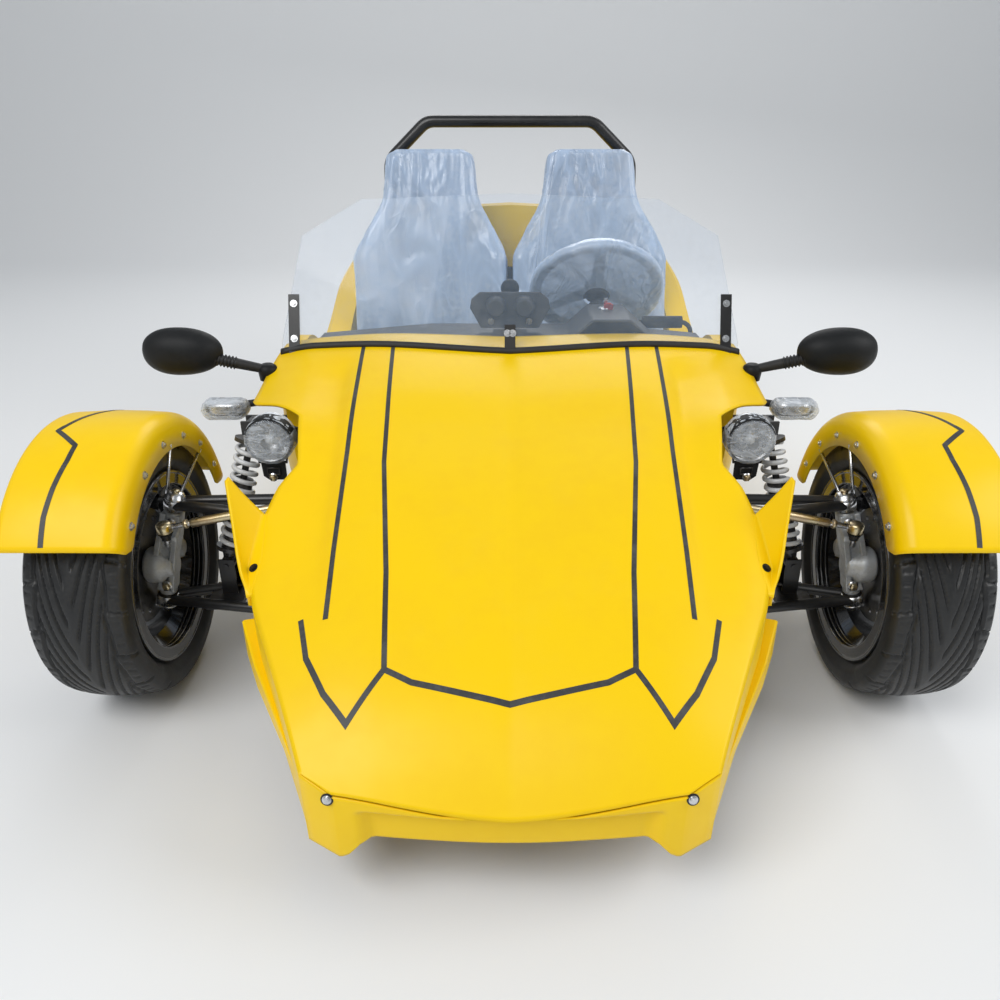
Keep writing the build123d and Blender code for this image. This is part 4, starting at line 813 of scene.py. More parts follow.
def buildBoltTree():
    tree, start = newTree("boltRow", [
        ("Geometry", "Geometry", None), ("Head Radius", "Float", 0.005), ("Head Height", "Float", 0.003),
        ("Washer Radius", "Float", 0.007), ("Washer Height", "Float", 0.001), ("Head Sides", "Int", 6),
        ("Material", "Material", None),
    ])

    def raised(radius, height, sides, base):
        body = addNode(tree, "GeometryNodeMeshCylinder", Vertices=sides, Radius=radius, Depth=height)
        half = mathOf(tree, "MULTIPLY", height, 0.5)
        place = addNode(tree, "ShaderNodeCombineXYZ", Z=mathOf(tree, "ADD", half, base))
        lift = addNode(
            tree, "GeometryNodeTransform", Geometry=body.outputs["Mesh"], Translation=place.outputs[0],
        )
        return lift.outputs[0]

    washerHeight, headHeight = start["Washer Height"], start["Head Height"]
    shapes = [
        raised(start["Washer Radius"], washerHeight, 24, 0.0),
        raised(start["Head Radius"], headHeight, start["Head Sides"], washerHeight),
        raised(
            mathOf(tree, "MULTIPLY", start["Head Radius"], 0.72), mathOf(tree, "MULTIPLY", headHeight, 0.3),
            16, mathOf(tree, "ADD", washerHeight, headHeight),
        ),
    ]
    places = addNode(
        tree, "GeometryNodeInstanceOnPoints", Points=start["Geometry"], Instance=joinedShapes(tree, shapes),
        Rotation=upTo(tree, pointVector(tree, "facing")),
    )
    return finishTree(tree, places.outputs[0], start["Material"])


boltTree = buildBoltTree()


def boltRow(name, places, material, head=5, height=3, washer=7, washerHeight=1, sides=6):
    # places are (point in metres, outward direction)
    directions = [Vector(direction).normalized() for _, direction in places]
    obj = pointObject(name, [place for place, _ in places], "facing", directions)
    return runTree(obj, boltTree, {
        "Head Radius": head / 1000, "Head Height": height / 1000, "Washer Radius": washer / 1000,
        "Washer Height": washerHeight / 1000, "Head Sides": sides, "Material": material,
    })


# Coil springs: a spiral swept by a round wire

def buildSpringTree():
    tree, start = newTree("coilSpring", [
        ("Turns", "Float", 8.0), ("Coil Radius", "Float", 0.024), ("Height", "Float", 0.2),
        ("Wire Radius", "Float", 0.004), ("Place", "Vector", (0, 0, 0)), ("Direction", "Vector", (0, 0, 1)),
        ("Material", "Material", None),
    ])
    spiral = addNode(
        tree, "GeometryNodeCurveSpiral", Resolution=26, Rotations=start["Turns"], Height=start["Height"],
        Start_Radius=start["Coil Radius"], End_Radius=start["Coil Radius"],
    )
    wire = addNode(tree, "GeometryNodeCurvePrimitiveCircle", Resolution=12, Radius=start["Wire Radius"])
    sweep = addNode(
        tree, "GeometryNodeCurveToMesh", Fill_Caps=True, Curve=spiral.outputs[0],
        Profile_Curve=wire.outputs[0],
    )
    move = addNode(
        tree, "GeometryNodeTransform", Geometry=sweep.outputs[0], Translation=start["Place"],
        Rotation=upTo(tree, start["Direction"]),
    )
    return finishTree(tree, move.outputs[0], start["Material"])


springTree = buildSpringTree()


def coilSpring(name, low, high, coilRadius, wireRadius, turns, material):
    run = Vector(high) - Vector(low)
    return allSmooth(runTree(newObject(name, [(0, 0, 0)], []), springTree, {
        "Turns": float(turns), "Coil Radius": coilRadius / 1000, "Height": run.length,
        "Wire Radius": wireRadius / 1000, "Place": tuple(low), "Direction": tuple(run.normalized()),
        "Material": material,
    }))


# Hood: one smooth shell from rows of half sections, cut to its plan outline

hoodShape = {
    # rows: y, then (x, z) points from the centre outwards; outline: (y, x) points of the edge in plan
    "rows": [
        (-1400, [(0, 207), (190, 212), (330, 196), (480, 160)]),
        (-1330, [(0, 274), (193, 280), (338, 262), (486, 214)]),
        (-1250, [(0, 332), (197, 338), (350, 312), (492, 258)]),
        (-1150, [(0, 382), (204, 389), (374, 358), (498, 302)]),
        (-1050, [(0, 423), (214, 431), (400, 399), (504, 346)]),
        (-950, [(0, 462), (224, 472), (405, 446), (512, 402)]),
        (-850, [(0, 500), (236, 511), (408, 496), (520, 458)]),
        (-700, [(0, 553), (248, 563), (415, 573), (545, 548)]),
        (-590, [(0, 590), (256, 599), (430, 594), (552, 558)]),
        (-400, [(0, 634), (264, 642), (440, 632), (560, 606)]),
        (-340, [(0, 643), (266, 650), (440, 640), (566, 614)]),
    ],
    "outline": [
        (-1388, 0), (-1362, 256), (-1336, 306), (-1070, 432), (-1000, 455), (-905, 446), (-852, 430),
        (-806, 400), (-704, 416), (-690, 418), (-640, 476), (-600, 530), (-585, 540), (-500, 534),
        (-352, 518),
    ],
    "creaseDip": 3.0,
    "creaseHalf": 16,
    "skin": 5,
    # soft folds outside the outer stripes
    "foldX": [(-1130, 322), (-1003, 328), (-783, 338), (-404, 362)],
    "foldDepth": 13,
    "foldInner": 15,
    "foldOuter": 58,
}


def hoodHeight(x, y):
    # height of the hood's outer face in millimetres
    x = abs(x)
    z = easedValue([(sectionY, easedValue(half, x)) for sectionY, half in hoodShape["rows"]], y)
    fade = smoothStep((y + 1330) / 160) * smoothStep((-430 - y) / 120)
    z -= hoodShape["creaseDip"] * fade * math.exp(-(x / hoodShape["creaseHalf"]) ** 2)
    away = x - straightValue(hoodShape["foldX"], y)
    foldHalf = hoodShape["foldInner"] if away < 0 else hoodShape["foldOuter"]
    foldFade = smoothStep((y + 1180) / 300) * smoothStep((-440 - y) / 110)
    z -= hoodShape["foldDepth"] * foldFade * math.exp(-(away / foldHalf) ** 2)
    return z


def outlineX(y):
    return straightValue(hoodShape["outline"], y)


def frontY(x):
    # the front edge in plan: a shallow bow, then a straight run back to its corner
    (middleY, _), (bowY, bowX), (cornerY, cornerX) = hoodShape["outline"][:3]
    x = abs(x)
    if x <= bowX:
        return lerp(middleY, bowY, (x / bowX) ** 1.6)
    return lerp(bowY, cornerY, (x - bowX) / (cornerX - bowX))


def hoodGrid(name, rowCount=150, columnCount=97):
    points = []
    cornerY, cornerX = hoodShape["outline"][2]
    backY = hoodShape["outline"][-1][0]
    for i in range(rowCount):
        share = i / (rowCount - 1)
        for j in range(columnCount):
            u = lerp(-1, 1, j / (columnCount - 1))
            if share < 0.06:
                # the front edge curves back at its ends
                t = share / 0.06
                x = u * cornerX
                y = lerp(frontY(x), cornerY, t)
            else:
                y = lerp(cornerY, backY, (share - 0.06) / 0.94)
                x = u * outlineX(y)
            points.append(at(x, y, hoodHeight(x, y)))
    return newObject(name, points, gridFaces(rowCount, columnCount))


piece(walled(hoodGrid("hoodShell"), hoodShape["skin"]), "root", yellowPaint, ["hood"])


# Tape stripes, laid on the hood as thin strips

def surfaceStrip(name, route, width, height=0.5, step=12):
    # route is a list of plan points in millimetres
    points = []
    dense = []
    for (x0, y0), (x1, y1) in zip(route, route[1:]):
        length = math.hypot(x1 - x0, y1 - y0)
        count = max(1, int(length / step))
        for i in range(count):
            dense.append((lerp(x0, x1, i / count), lerp(y0, y1, i / count)))
    dense.append(route[-1])
    for i, (x, y) in enumerate(dense):
        x0, y0 = dense[max(i - 1, 0)]
        x1, y1 = dense[min(i + 1, len(dense) - 1)]
        before = Vector((x - x0, y - y0))
        after = Vector((x1 - x, y1 - y))
        if before.length < 1e-6:
            before = after
        if after.length < 1e-6:
            after = before
        before.normalize()
        after.normalize()
        mean = (before + after).normalized()
        stretch = 1 / max(0.5, mean.dot(before))
        nx, ny = -mean.y * width / 2 * stretch, mean.x * width / 2 * stretch
        for side, lift in ((1, -0.6), (1, height), (0, height + 0.05), (-1, height), (-1, -0.6)):
            px, py = x + nx * side, y + ny * side
            points.append(at(px, py, hoodHeight(px, py) + lift))
    return newObject(name, points, gridFaces(len(dense), 5), smooth=False)


stripes = {
    "width": 8.5,
    "routes": [
        [(-262, -404), (-236, -812), (-206, -1054), (-192, -1218), (-149, -1236), (0, -1261), (149, -1236),
         (192, -1218), (206, -1054), (236, -812), (262, -404)],
        [(-328, -404), (-309, -783), (-302, -1003), (-296, -1130)],
        [(328, -404), (309, -783), (302, -1003), (296, -1130)],
        [(-192, -1218), (-242, -1288), (-282, -1245), (-318, -1188), (-338, -1122)],
        [(192, -1218), (242, -1288), (282, -1245), (318, -1188), (338, -1122)],
    ],
}
strips = [surfaceStrip("strip", route, stripes["width"]) for route in stripes["routes"]]
piece(joined("hoodStripes", painted(strips, tapeBlack)), "root")
print("hood and stripes made")


# Skirt round the nose: follows the hood's edge, with two corner feet

skirt = {
    # rows: x along the front edge, then lowest z; sideRows: plan point, then lowest z
    "rows": [
        (0, 156), (120, 153), (206, 150), (222, 146), (240, 124), (250, 118), (256, 117),
    ],
    "sideRows": [
        (306, -1336, 124), (330, -1284, 131), (380, -1178, 140), (432, -1070, 150),
        (446, -1028, 162), (455, -1000, 176), (450, -950, 192), (446, -905, 204), (435, -869, 214),
    ],
    "columns": 26, "bulge": 5, "recess": 16, "recessTop": 42, "wall": 5,
}


def skirtTop(x, y):
    return hoodHeight(x, y) - 5.3


def recessAt(x, rise):
    # the middle of the front sits back between the two feet, under the hood's lip
    inFeet = smoothStep((226 - abs(x)) / 26)
    return skirt["recess"] * inFeet * smoothStep((skirt["recessTop"] + 22 - rise) / 10)


def buildSkirt():
    front = []
    for (x0, low0), (x1, low1) in zip(skirt["rows"], skirt["rows"][1:]):
        count = max(2, int((x1 - x0) / 6))
        for i in range(count):
            front.append((lerp(x0, x1, i / count), lerp(low0, low1, i / count)))
    plan = [(x, frontY(x), low) for x, low in front]
    sideRows = [(256, frontY(256), 117)] + skirt["sideRows"]
    for (x0, y0, low0), (x1, y1, low1) in zip(sideRows, sideRows[1:]):
        count = max(1, int(math.hypot(x1 - x0, y1 - y0) / 14))
        for i in range(count):
            t = i / count
            plan.append((lerp(x0, x1, t), lerp(y0, y1, t), lerp(low0, low1, t)))
    plan.append(sideRows[-1])
    full = [(-x, y, low) for x, y, low in reversed(plan[1:])] + plan
    points = []
    for x, y, low in full:
        top = skirtTop(x, y)
        for j in range(skirt["columns"]):
            t = j / (skirt["columns"] - 1)
            z = lerp(low, top, t)
            tuck = skirt["bulge"] * (1 - t) ** 2
            inward = Vector((-x, 0)).normalized() if abs(x) > 306 else Vector((0, 1))
            setBack = recessAt(x, z - 156) if abs(x) < 260 else 0.0
            points.append(at(x + inward.x * tuck, y + inward.y * tuck + setBack, z))
    obj = cleanObject("noseSkirt", points, gridFaces(len(full), skirt["columns"]))
    return walled(facing(obj, (0, -1, 0)), skirt["wall"])


piece(buildSkirt(), "root", yellowPaint, ["front_valance"])


# Stepped flap outside the skirt's back end on each side

flap = {
    "plan": [(300, -1336), (440, -1084), (480, -1000)], "inner": [(298, -1330), (426, -1068), (452, -992)],
    "shares": (0.0, 0.62, 1.0), "topFront": 214, "topBack": 297, "low": 198,
}


def buildFlap(side):
    points = []
    rows = 30
    for i in range(rows):
        t = i / (rows - 1)
        ox, oy, ix, iy = (
            straightValue(list(zip(flap["shares"], [point[axis] for point in flap[line]])), t)
            for line in ("plan", "inner") for axis in (0, 1)
        )
        top = lerp(flap["topFront"], flap["topBack"], t)
        low = min(flap["low"], top - 2)
        for x, y, z in (
            (ix, iy, low), (lerp(ix, ox, 0.7), lerp(iy, oy, 0.7), low), (ox, oy, lerp(low, top, 0.25)),
            (ox, oy, top - 3), (lerp(ix, ox, 0.86), lerp(iy, oy, 0.86), top), (ix, iy, top + 0.3),
        ):
            points.append(at(x * side, y, z))
    return cleanObject(
        f"flap{side}", points, gridFaces(rows, 6, closeColumns=True, capped=True), smooth=False,
    )


piece(joined("noseFlaps", [buildFlap(1), buildFlap(-1)]), "root", yellowPaint)


# Flared wing on each side: a plate from the hood's edge up to a blunt tip, on a flange

horn = {
    "frontY": -1052, "backY": -900, "creaseIn": 34, "tip": (506, -897, 541), "front": (446, -1052),
    "bow": 7, "wall": 5, "flange": [(455.6, -1008), (446.8, -907)], "flangeLow": 303, "flangeHigh": 438,
    "flangeThick": 5.5, "screw": (444, -1001),
}


def buildHorn(side):
    rows, columns = 34, 24
    tip = Vector(horn["tip"])
    frontX, frontPlace = horn["front"]
    start = Vector((frontX, frontPlace, hoodHeight(frontX, frontPlace) - 1))
    points = []
    for i in range(rows):
        t = i / (rows - 1)
        y = lerp(horn["frontY"], horn["backY"], t)
        x = outlineX(y) + 0.4
        inner = Vector((x, y, hoodHeight(x, y) + 0.6))
        creaseX = x - horn["creaseIn"] * smoothStep(t / 0.45) * (1 - 0.9 * t) - 2
        crease = Vector((creaseX, y, hoodHeight(creaseX, y) + 0.5))
        outer = start.lerp(tip, t)
        # the tip is blunt
        outer = outer.lerp(inner, 0.10 * smoothStep((t - 0.93) / 0.07))
        for j in range(columns):
            share = j / (columns - 1)
            if share < 0.3:
                place = crease.lerp(inner, share / 0.3)
                place.z = hoodHeight(place.x, place.y) + 0.6
            else:
                share = (share - 0.3) / 0.7
                place = inner.lerp(outer, share)
                lift = horn["bow"] * math.sin(math.pi * share) * smoothStep(t * 2.2)
                place += Vector((0.62, -0.42, 0.5)) * lift * 0.6
            points.append(at(place.x * side, place.y, place.z))
    plate = cleanObject(f"hornPlate{side}", points, gridFaces(rows, columns))
    walled(facing(plate, (0, 0, 1)), horn["wall"])
    (x0, y0), (x1, y1) = horn["flange"]
    out = Vector((y1 - y0, x0 - x1)).normalized() * horn["flangeThick"]
    strip = []
    for i in range(12):
        t = i / 11
        x, y = lerp(x0, x1, t), lerp(y0, y1, t)
        low = horn["flangeLow"] + 30 * (1 - smoothStep(t * 3)) + 26 * smoothStep((t - 0.7) * 3)
        high = min(horn["flangeHigh"], hoodHeight(x, y) - 2)
        outX, outY = x + out.x, y + out.y
        for px, py, pz in ((x, y, low), (outX, outY, low), (outX, outY, high), (x, y, high)):
            strip.append(at(px * side, py, pz))
    flange = cleanObject(
        f"hornFlange{side}", strip, gridFaces(12, 4, closeColumns=True, capped=True), smooth=False,
    )
    return joined(f"horn{side}", [plate, flange])


horns = allSmooth(joined("noseHorns", [buildHorn(1), buildHorn(-1)]))
piece(horns, "root", yellowPaint, ["scoops"])

# A screw with a rubber seal at each corner of the nose, a dark screw on each wing
cornerScrew = (262, -1361, 236)
x, y = horn["screw"]
noseBolts, wingScrews = [], []
for side in (1, -1):
    noseBolts.append((sidePoint(cornerScrew, side), (0.1 * side, -1, 0.25)))
    wingScrews.append((at(x * side, y, hoodHeight(x, y) + 0.5), (0.35 * side, -0.4, 0.85)))
for name, places, material, slot, head, height, washer, washerHeight, sides in (
    ("noseBolts", noseBolts, zincBright, "disc_steel", 5.5, 2.5, 7, 2.2, 16),
    ("wingScrews", wingScrews, plasticBlack, "plastic_black", 5.6, 2.4, 8.4, 1, 20),
    ("noseSeals", noseBolts, rubberBlack, "plastic_black", 8, 0.6, 9.5, 1.2, 24),
):
    piece(boltRow(name, places, material, head, height, washer, washerHeight, sides), "root")
print("nose made")


# Windscreen fittings: rubber strip along its foot, bolts on the brackets

screen = {"baseY": -400, "bow": 34, "rake": math.radians(22), "half": 560, "foot": 560, "baseZ": 635}
footStrip = {
    "half": 518, "wall": 1.2,
    "section": ((-5.5, -1.5), (-6.5, 3), (-4, 8), (0, 10), (1.5, 10), (1.5, 0.3)),
}


def screenY(x, z):
    # the windscreen's outer face
    lean, reach = math.tan(screen["rake"]), screen["half"] ** 2 / (2 * arcRadius())
    base = screen["baseY"] - (screen["baseZ"] - screen["foot"]) * lean
    curve = base + 10 - reach + (x * x) / (2 * arcRadius())
    return curve + (z - screen["foot"]) * lean + reach - (screen["bow"] + 10)


def arcRadius():
    sag = screen["bow"] + 10
    return (screen["half"] ** 2 + sag ** 2) / (2 * sag)


def buildTrim():
    points = []
    count = 97
    for i in range(count):
        x = lerp(-footStrip["half"], footStrip["half"], i / (count - 1))
        z = 600
        for _ in range(6):
            y = screenY(x, z)
            z = hoodHeight(x, y)
        points += [at(x, y + dy + 1.0, z + dz) for dy, dz in footStrip["section"]]
    obj = cleanObject("screenTrim", points, gridFaces(count, 6))
    return walled(obj, footStrip["wall"], offset=1)


piece(buildTrim(), "root", rubberBlack)

# Bolts on the windscreen's side brackets and middle tab
bracket = {"x": 486, "z": 612, "rises": (40, 118), "tabX": 6, "tabZ": 668, "lift": 5.5}
outwards = (0, -math.cos(screen["rake"]), math.sin(screen["rake"]))
bracketBolts = []
for side in (1, -1):
    for rise in bracket["rises"]:
        x, z = bracket["x"] * side, bracket["z"] + rise * math.cos(screen["rake"])
        bracketBolts.append((at(x, screenY(x, z) - bracket["lift"], z), outwards))
for way in (-1, 1):
    place = at(bracket["tabX"] * way, screenY(0, bracket["tabZ"]) - bracket["lift"], bracket["tabZ"])
    bracketBolts.append((place, outwards))
piece(boltRow("screenBolts", bracketBolts, zincBright, washer=8, washerHeight=1.2), "root")
print("windscreen made")


# Tyres: turned carcass with swept grooves pressed into its tread

tyres = {
    "front": {"radius": 265.5, "width": 186, "seat": 178, "flange": 197, "rim": 152},
    "rear": {"radius": 300, "width": 226, "seat": 190.5, "flange": 208, "rim": 178},
    "around": 420, "across": 112,
    "tread": {
        "sweeps": 24, "lines": 5.6, "linePitch": 14, "lineHalf": 2.3, "deep": 5.5, "ribEnd": 0.68,
        "zigzag": 0.05, "blocks": 17, "blockLength": 98,
    },
}


def tyreSection(size):
    # (x, r) along the outer skin from bead to bead
    half = size["width"] / 2
    wall = size["flange"] + (size["radius"] - size["flange"]) * 0.42
    shoulderR = size["radius"] - (size["radius"] - size["seat"]) * 0.16
    shoulder = half * 0.9
    return [
        (0, size["radius"]), (shoulder * 0.55, size["radius"] - (size["radius"] - shoulderR) * 0.28),
        (shoulder, shoulderR), (half - 0.8, lerp(wall, shoulderR, 0.4)), (half - 0.6, wall - 4),
        (size["rim"] / 2 + 2, size["flange"] + 3),
    ]


def grooveDepth(turn, v, side):
    # depth pressed into the tread: turn counts wheel turns, v runs from the middle (0) to the shoulder (1)
    tread = tyres["tread"]
    depth = 0.0
    if 0.05 < v < tread["ribEnd"] + 0.02:
        sweep = turn * tread["sweeps"] + side * 0.25 - tread["lines"] * v ** 1.25
        nearest = abs(sweep % 1.0 - 0.5) * tread["linePitch"]
        fade = smoothStep((v - 0.05) / 0.05) * smoothStep((tread["ribEnd"] + 0.02 - v) / 0.04)
        depth = tread["deep"] * smoothStep((tread["lineHalf"] - nearest) / 1.4) * fade
    block = turn * tread["blocks"] + side * 0.2
    step = block % 1.0
    zigzag = tread["zigzag"] * smoothStep((step - 0.08) / 0.1)
    edge = tread["ribEnd"] + zigzag * smoothStep((0.98 - step) / 0.5)
    if abs(v - edge) < 0.045:
        depth = max(depth, tread["deep"] * smoothStep((0.045 - abs(v - edge)) / 0.02))
    if edge < v < 1.14:
        # slanting groove between blocks, then short cuts across each block
        across = abs((step + 0.22 * (v - edge)) % 1.0 - 0.08) * tread["blockLength"]
        depth = max(depth, tread["deep"] * smoothStep((3.4 - across) / 1.6))
        if edge + 0.09 < v < 0.98:
            cut = (step + 0.16 * (v - edge)) * 4
            near = abs(cut % 1.0 - 0.5) * tread["blockLength"] / 4
            if 0.25 < (step + 0.16 * (v - edge)) % 1.0 < 0.98:
                depth = max(depth, 2.4 * smoothStep((2.5 - near) / 1.4))
    return depth


def tyrePiece(name, centre, size, turnWay):
    lengths, xTable, rTable = routeTables(tyreSection(size))
    total, treadEnd = lengths[-1], lengths[2]
    acrossCount = tyres["across"]
    aroundCount = tyres["around"]
    points = []
    for i in range(aroundCount):
        turn = i / aroundCount
        angle = 2 * math.pi * turn
        for j in range(acrossCount + 1):
            share = lerp(-1, 1, j / acrossCount)
            side = 1 if share >= 0 else -1
            # four fifths of the columns lie in the tread
            d = straightValue([(0, 0), (0.8, treadEnd * 1.16), (1, total)], abs(share))
            x = easedValue(xTable, d) * side
            r = easedValue(rTable, d)
            v = d / treadEnd
            if v < 1.16:
                r -= grooveDepth(turn, v, side)
            points.append(at(
                centre[0] + x * turnWay, centre[1] + r * math.sin(angle), centre[2] + r * math.cos(angle),
            ))
    obj = newObject(name, points, gridFaces(aroundCount, acrossCount + 1, closeRows=True))
    # bead and inner wall
    beadX, wallX = size["rim"] / 2 + 2, size["rim"] / 2 - 0.3
    half = [(beadX, size["flange"] + 3), (wallX, size["flange"] + 1), (wallX, size["seat"] + 0.2)]
    profile = [(x / 1000, r / 1000) for x, r in half] + [(-x / 1000, r / 1000) for x, r in half[::-1]]
    inside = turnedObject("bead", profile, at(*centre), (1, 0, 0), sides=aroundCount, across=(0, 0, 1))
    whole = joined(name, painted([obj, inside], tyreBlack))
    cleanNormals(whole, 0.0004)
    return whole


for side, label in bothSides:
    hubX, hubY, hubZ = frontHub
    obj = tyrePiece(f"tyreFront{label}", (hubX * side, hubY, hubZ), tyres["front"], side)
    body = f"front_wheel_{label.lower()}"
    piece(obj, body, tyreBlack, [f"tyre_front_{label.lower()}"])
obj = tyrePiece("tyreRear", rearHub, tyres["rear"], 1)
piece(obj, "rear_wheel", tyreBlack, ["tyre_rear"])
print("tyres made")


# Fenders over the front wheels: rounded shell, inner flange with button screws, pinstripe

fender = {
    "radius": 320, "flange": 247, "inner": 108, "outer": 105, "startDeg": 34, "sweepDeg": 131, "wall": 4,
    "boltRadius": 268, "boltDegrees": [45, 68, 90, 112, 132, 152],
    # stays: degrees of the tip, then how far behind the axle the root sits
    "stays": [(98, 8), (134, 25)],
}


def fenderProfile():
    inner, outer, radius = fender["inner"], fender["outer"], fender["radius"]
    points = [(-inner, fender["flange"]), (-inner, radius - 34)]
    for i in range(1, 9):
        angle = math.pi / 2 * i / 8
        points.append((-inner + 30 * (1 - math.cos(angle)), radius - 34 + 30 * math.sin(angle)))
    points.append((-40, radius - 1.5))
    points.append((0, radius - 0.6))
    points.append((40, radius - 1.5))
    for i in range(0, 7):
        angle = math.pi / 2 * i / 6
        points.append((outer - 16 + 16 * math.sin(angle), radius - 4 - 12 * (1 - math.cos(angle))))
    points.append((outer, radius - 24))
    return points


def fenderPoint(side, x, r, degrees):
    # x across the fender from the wheel's middle, r from the axle
    angle = math.radians(degrees)
    hubX, hubY, hubZ = frontHub
    return at(hubX * side + x * side, hubY - r * math.cos(angle), hubZ + r * math.sin(angle))


def buildFender(side, label):
    profile = fenderProfile()
    steps = 66
    points = []
    for i in range(steps + 1):
        share = i / steps
        degrees = fender["startDeg"] + fender["sweepDeg"] * share
        for x, r in profile:
            # the flange ends rise in a soft corner
            if r < fender["radius"] - 34:
                nearEnd = min(share, 1 - share) * fender["sweepDeg"]
                r = lerp(fender["radius"] - 34, r, smoothStep(nearEnd / 5 + 0.35))
            points.append(fenderPoint(side, x, r, degrees))
    shell = cleanObject(f"fenderShell{label}", points, gridFaces(steps + 1, len(profile)))
    middle = shell.data.polygons[len(shell.data.polygons) // 2]
    outwards = middle.center - sidePoint(frontHub, side)
    if middle.normal.dot(outwards) < 0:
        shell.data.flip_normals()
    return walled(shell, fender["wall"])


stripeRoute = [
    # degrees round the wheel, x across the fender
    (35.5, 18), (45, 20), (55, 16), (66, 9), (73, 9), (82, 62), (92, 44), (104, 20), (120, 12), (163, 10),
]


def fenderStripe(side, label):
    points = []
    dense = []
    for (d0, x0), (d1, x1) in zip(stripeRoute, stripeRoute[1:]):
        dense += [(lerp(d0, d1, i / 10), lerp(x0, x1, i / 10)) for i in range(10)]
    dense.append(stripeRoute[-1])
    for i, (degrees, x) in enumerate(dense):
        d0, x0 = dense[max(i - 1, 0)]
        d1, x1 = dense[min(i + 1, len(dense) - 1)]
        along = Vector(((d1 - d0) * 5.6, x1 - x0)).normalized()
        for share, lift in ((1, -0.6), (1, 0.45), (-1, 0.45), (-1, -0.6)):
            dd = -along.y * 4.6 * share / 5.6
            dx = along.x * 4.6 * share
            px = x + dx
            r = fender["radius"] - 0.6 - 0.9 * (px / 40) ** 2 if abs(px) < 60 else fender["radius"] - 2
            points.append(fenderPoint(side, px, r + lift, degrees + dd))
    return newObject(f"fenderStripe{label}", points, gridFaces(len(dense), 4), smooth=False)


def buildStay(side, label):
    # thin round stays from the upright to the flange
    hubX, hubY, hubZ = frontHub
    shapes = []
    for degrees, back in fender["stays"]:
        tip = fenderPoint(side, 2 - fender["inner"], fender["flange"] + 10, degrees)
        root = at((hubX - 78) * side, hubY + back, hubZ + 92)
        shapes.append(tubeObject("stay", [root, lerp(root, tip, 0.5), tip], 0.0035, 12))
        shapes.append(turnedObject("pad", rod(-0.006, 0.006, 0.009), root, (0, 1, 0), 20))
    return joined(f"fenderStays{label}", painted(shapes, zincBright))


for side, label in bothSides:
    body = f"upright_{label.lower()}"
    piece(buildFender(side, label), body, yellowPaint, [f"fender_{label.lower()}"])
    piece(fenderStripe(side, label), body, tapeBlack)
    piece(buildStay(side, label), body)
    places = [
        (fenderPoint(side, -fender["inner"], fender["boltRadius"], degrees), (-side, 0, 0))
        for degrees in fender["boltDegrees"]
    ]
    bolts = boltRow(f"fenderBolts{label}", places, zincBright, 5, 3.5, 8, 1.2, 14)
    piece(bolts, body)
print("fenders made")


# Seats: padded buckets with sewn channels, each under a loose clear bag

seat = {
    "x": 245, "half": 228, "lean": math.radians(15), "foot": (274.7, 169.6), "thick": 38,
    "cushionTop": 279, "cushionFront": -108, "cushionBack": 318,
    # seeds of the folds in the film of each side
    "seeds": {"Left": 3.7, "Right": 8.2},
}
backHalf = [(0, 214), (22, 222), (520, 226), (575, 188), (640, 140), (730, 124), (850, 116)]


def backPoint(x, s, depth):
    # s runs up the seat back, depth points forwards from its front face
    lean = seat["lean"]
    y = seat["foot"][0] + s * math.sin(lean) - depth * math.cos(lean)
    z = seat["foot"][1] + s * math.cos(lean) + depth * math.sin(lean)
    return x, y, z


def buildSeatBack(centreX):
    rows, around = 74, 56
    points = []
    for i in range(rows):
        share = i / (rows - 1)
        s = lerp(6, 846, share)
        close = 1.0
        if s > 800:
            close = math.sqrt(max(0.0, 1 - ((s - 800) / 47) ** 2))
        if s < 40:
            close = math.sqrt(max(0.0, 1 - ((40 - s) / 36) ** 2))
        half = easedValue(backHalf, s) * lerp(0.55, 1.0, close)
        thick = (seat["thick"] - 3) * max(close, 0.04)
        bolster = 44 * smoothStep((s - 90) / 60) * smoothStep((590 - s) / 60)
        for c, n in circle(around):
            x = half * rounded(c, 0.55)
            depth = thick * rounded(n, 0.62)
            if n > 0:
                edge = abs(x) / half
                depth += bolster * smoothStep((edge - 0.5) / 0.3) * close
                # sewn channels across the middle and down beside the bolsters
                channel = abs(((s - 60) / 62) % 1.0 - 0.5)
                if 60 < s < 560 and edge < 0.58:
                    depth += 5 * math.sin(math.pi * clamp(channel * 2 + 0.02)) - 3
                depth -= 7 * math.exp(-((edge - 0.6) / 0.035) ** 2) * (1 if s < 600 else 0.3)
                depth += 5 * math.exp(-((s - 730) / 60) ** 2)
            px, py, pz = backPoint(x, s, depth - seat["thick"])
            points.append(at(centreX + px, py, pz))
    return cleanObject("seatBack", points, gridFaces(rows, around, closeColumns=True, capped=True))


def buildCushion(centreX):
    rows, around = 46, 56
    low, top = seat["foot"][1] + 1, seat["cushionTop"]
    front, back = seat["cushionFront"], seat["cushionBack"]
    points = []
    for i in range(rows):
        share = i / (rows - 1)
        y = lerp(front, back, share)
        ends = min(share, 1 - share) * (back - front)
        close = math.sqrt(max(0.0, 1 - (max(0.0, 34 - ends) / 34) ** 2))
        half = (seat["half"] - 2) * lerp(0.8, 1.0, close)
        middle = (low + top) / 2
        tall = (top - low) / 2 * max(close, 0.05)
        for c, n in circle(around):
            x = half * rounded(c, 0.4)
            z = middle + tall * rounded(n, 0.5)
            if n > 0:
                edge = abs(x) / half
                z += 56 * smoothStep((edge - 0.62) / 0.22) * smoothStep(ends / 90)
                z -= 6 * math.exp(-((edge - 0.64) / 0.03) ** 2)
                channel = abs(((y - front) / 62) % 1.0 - 0.5)
                if edge < 0.6:
                    z += 5 * math.sin(math.pi * clamp(channel * 2 + 0.02)) - 5
            points.append(at(centreX + x, y, z))
    return cleanObject("cushion", points, gridFaces(rows, around, closeColumns=True, capped=True))


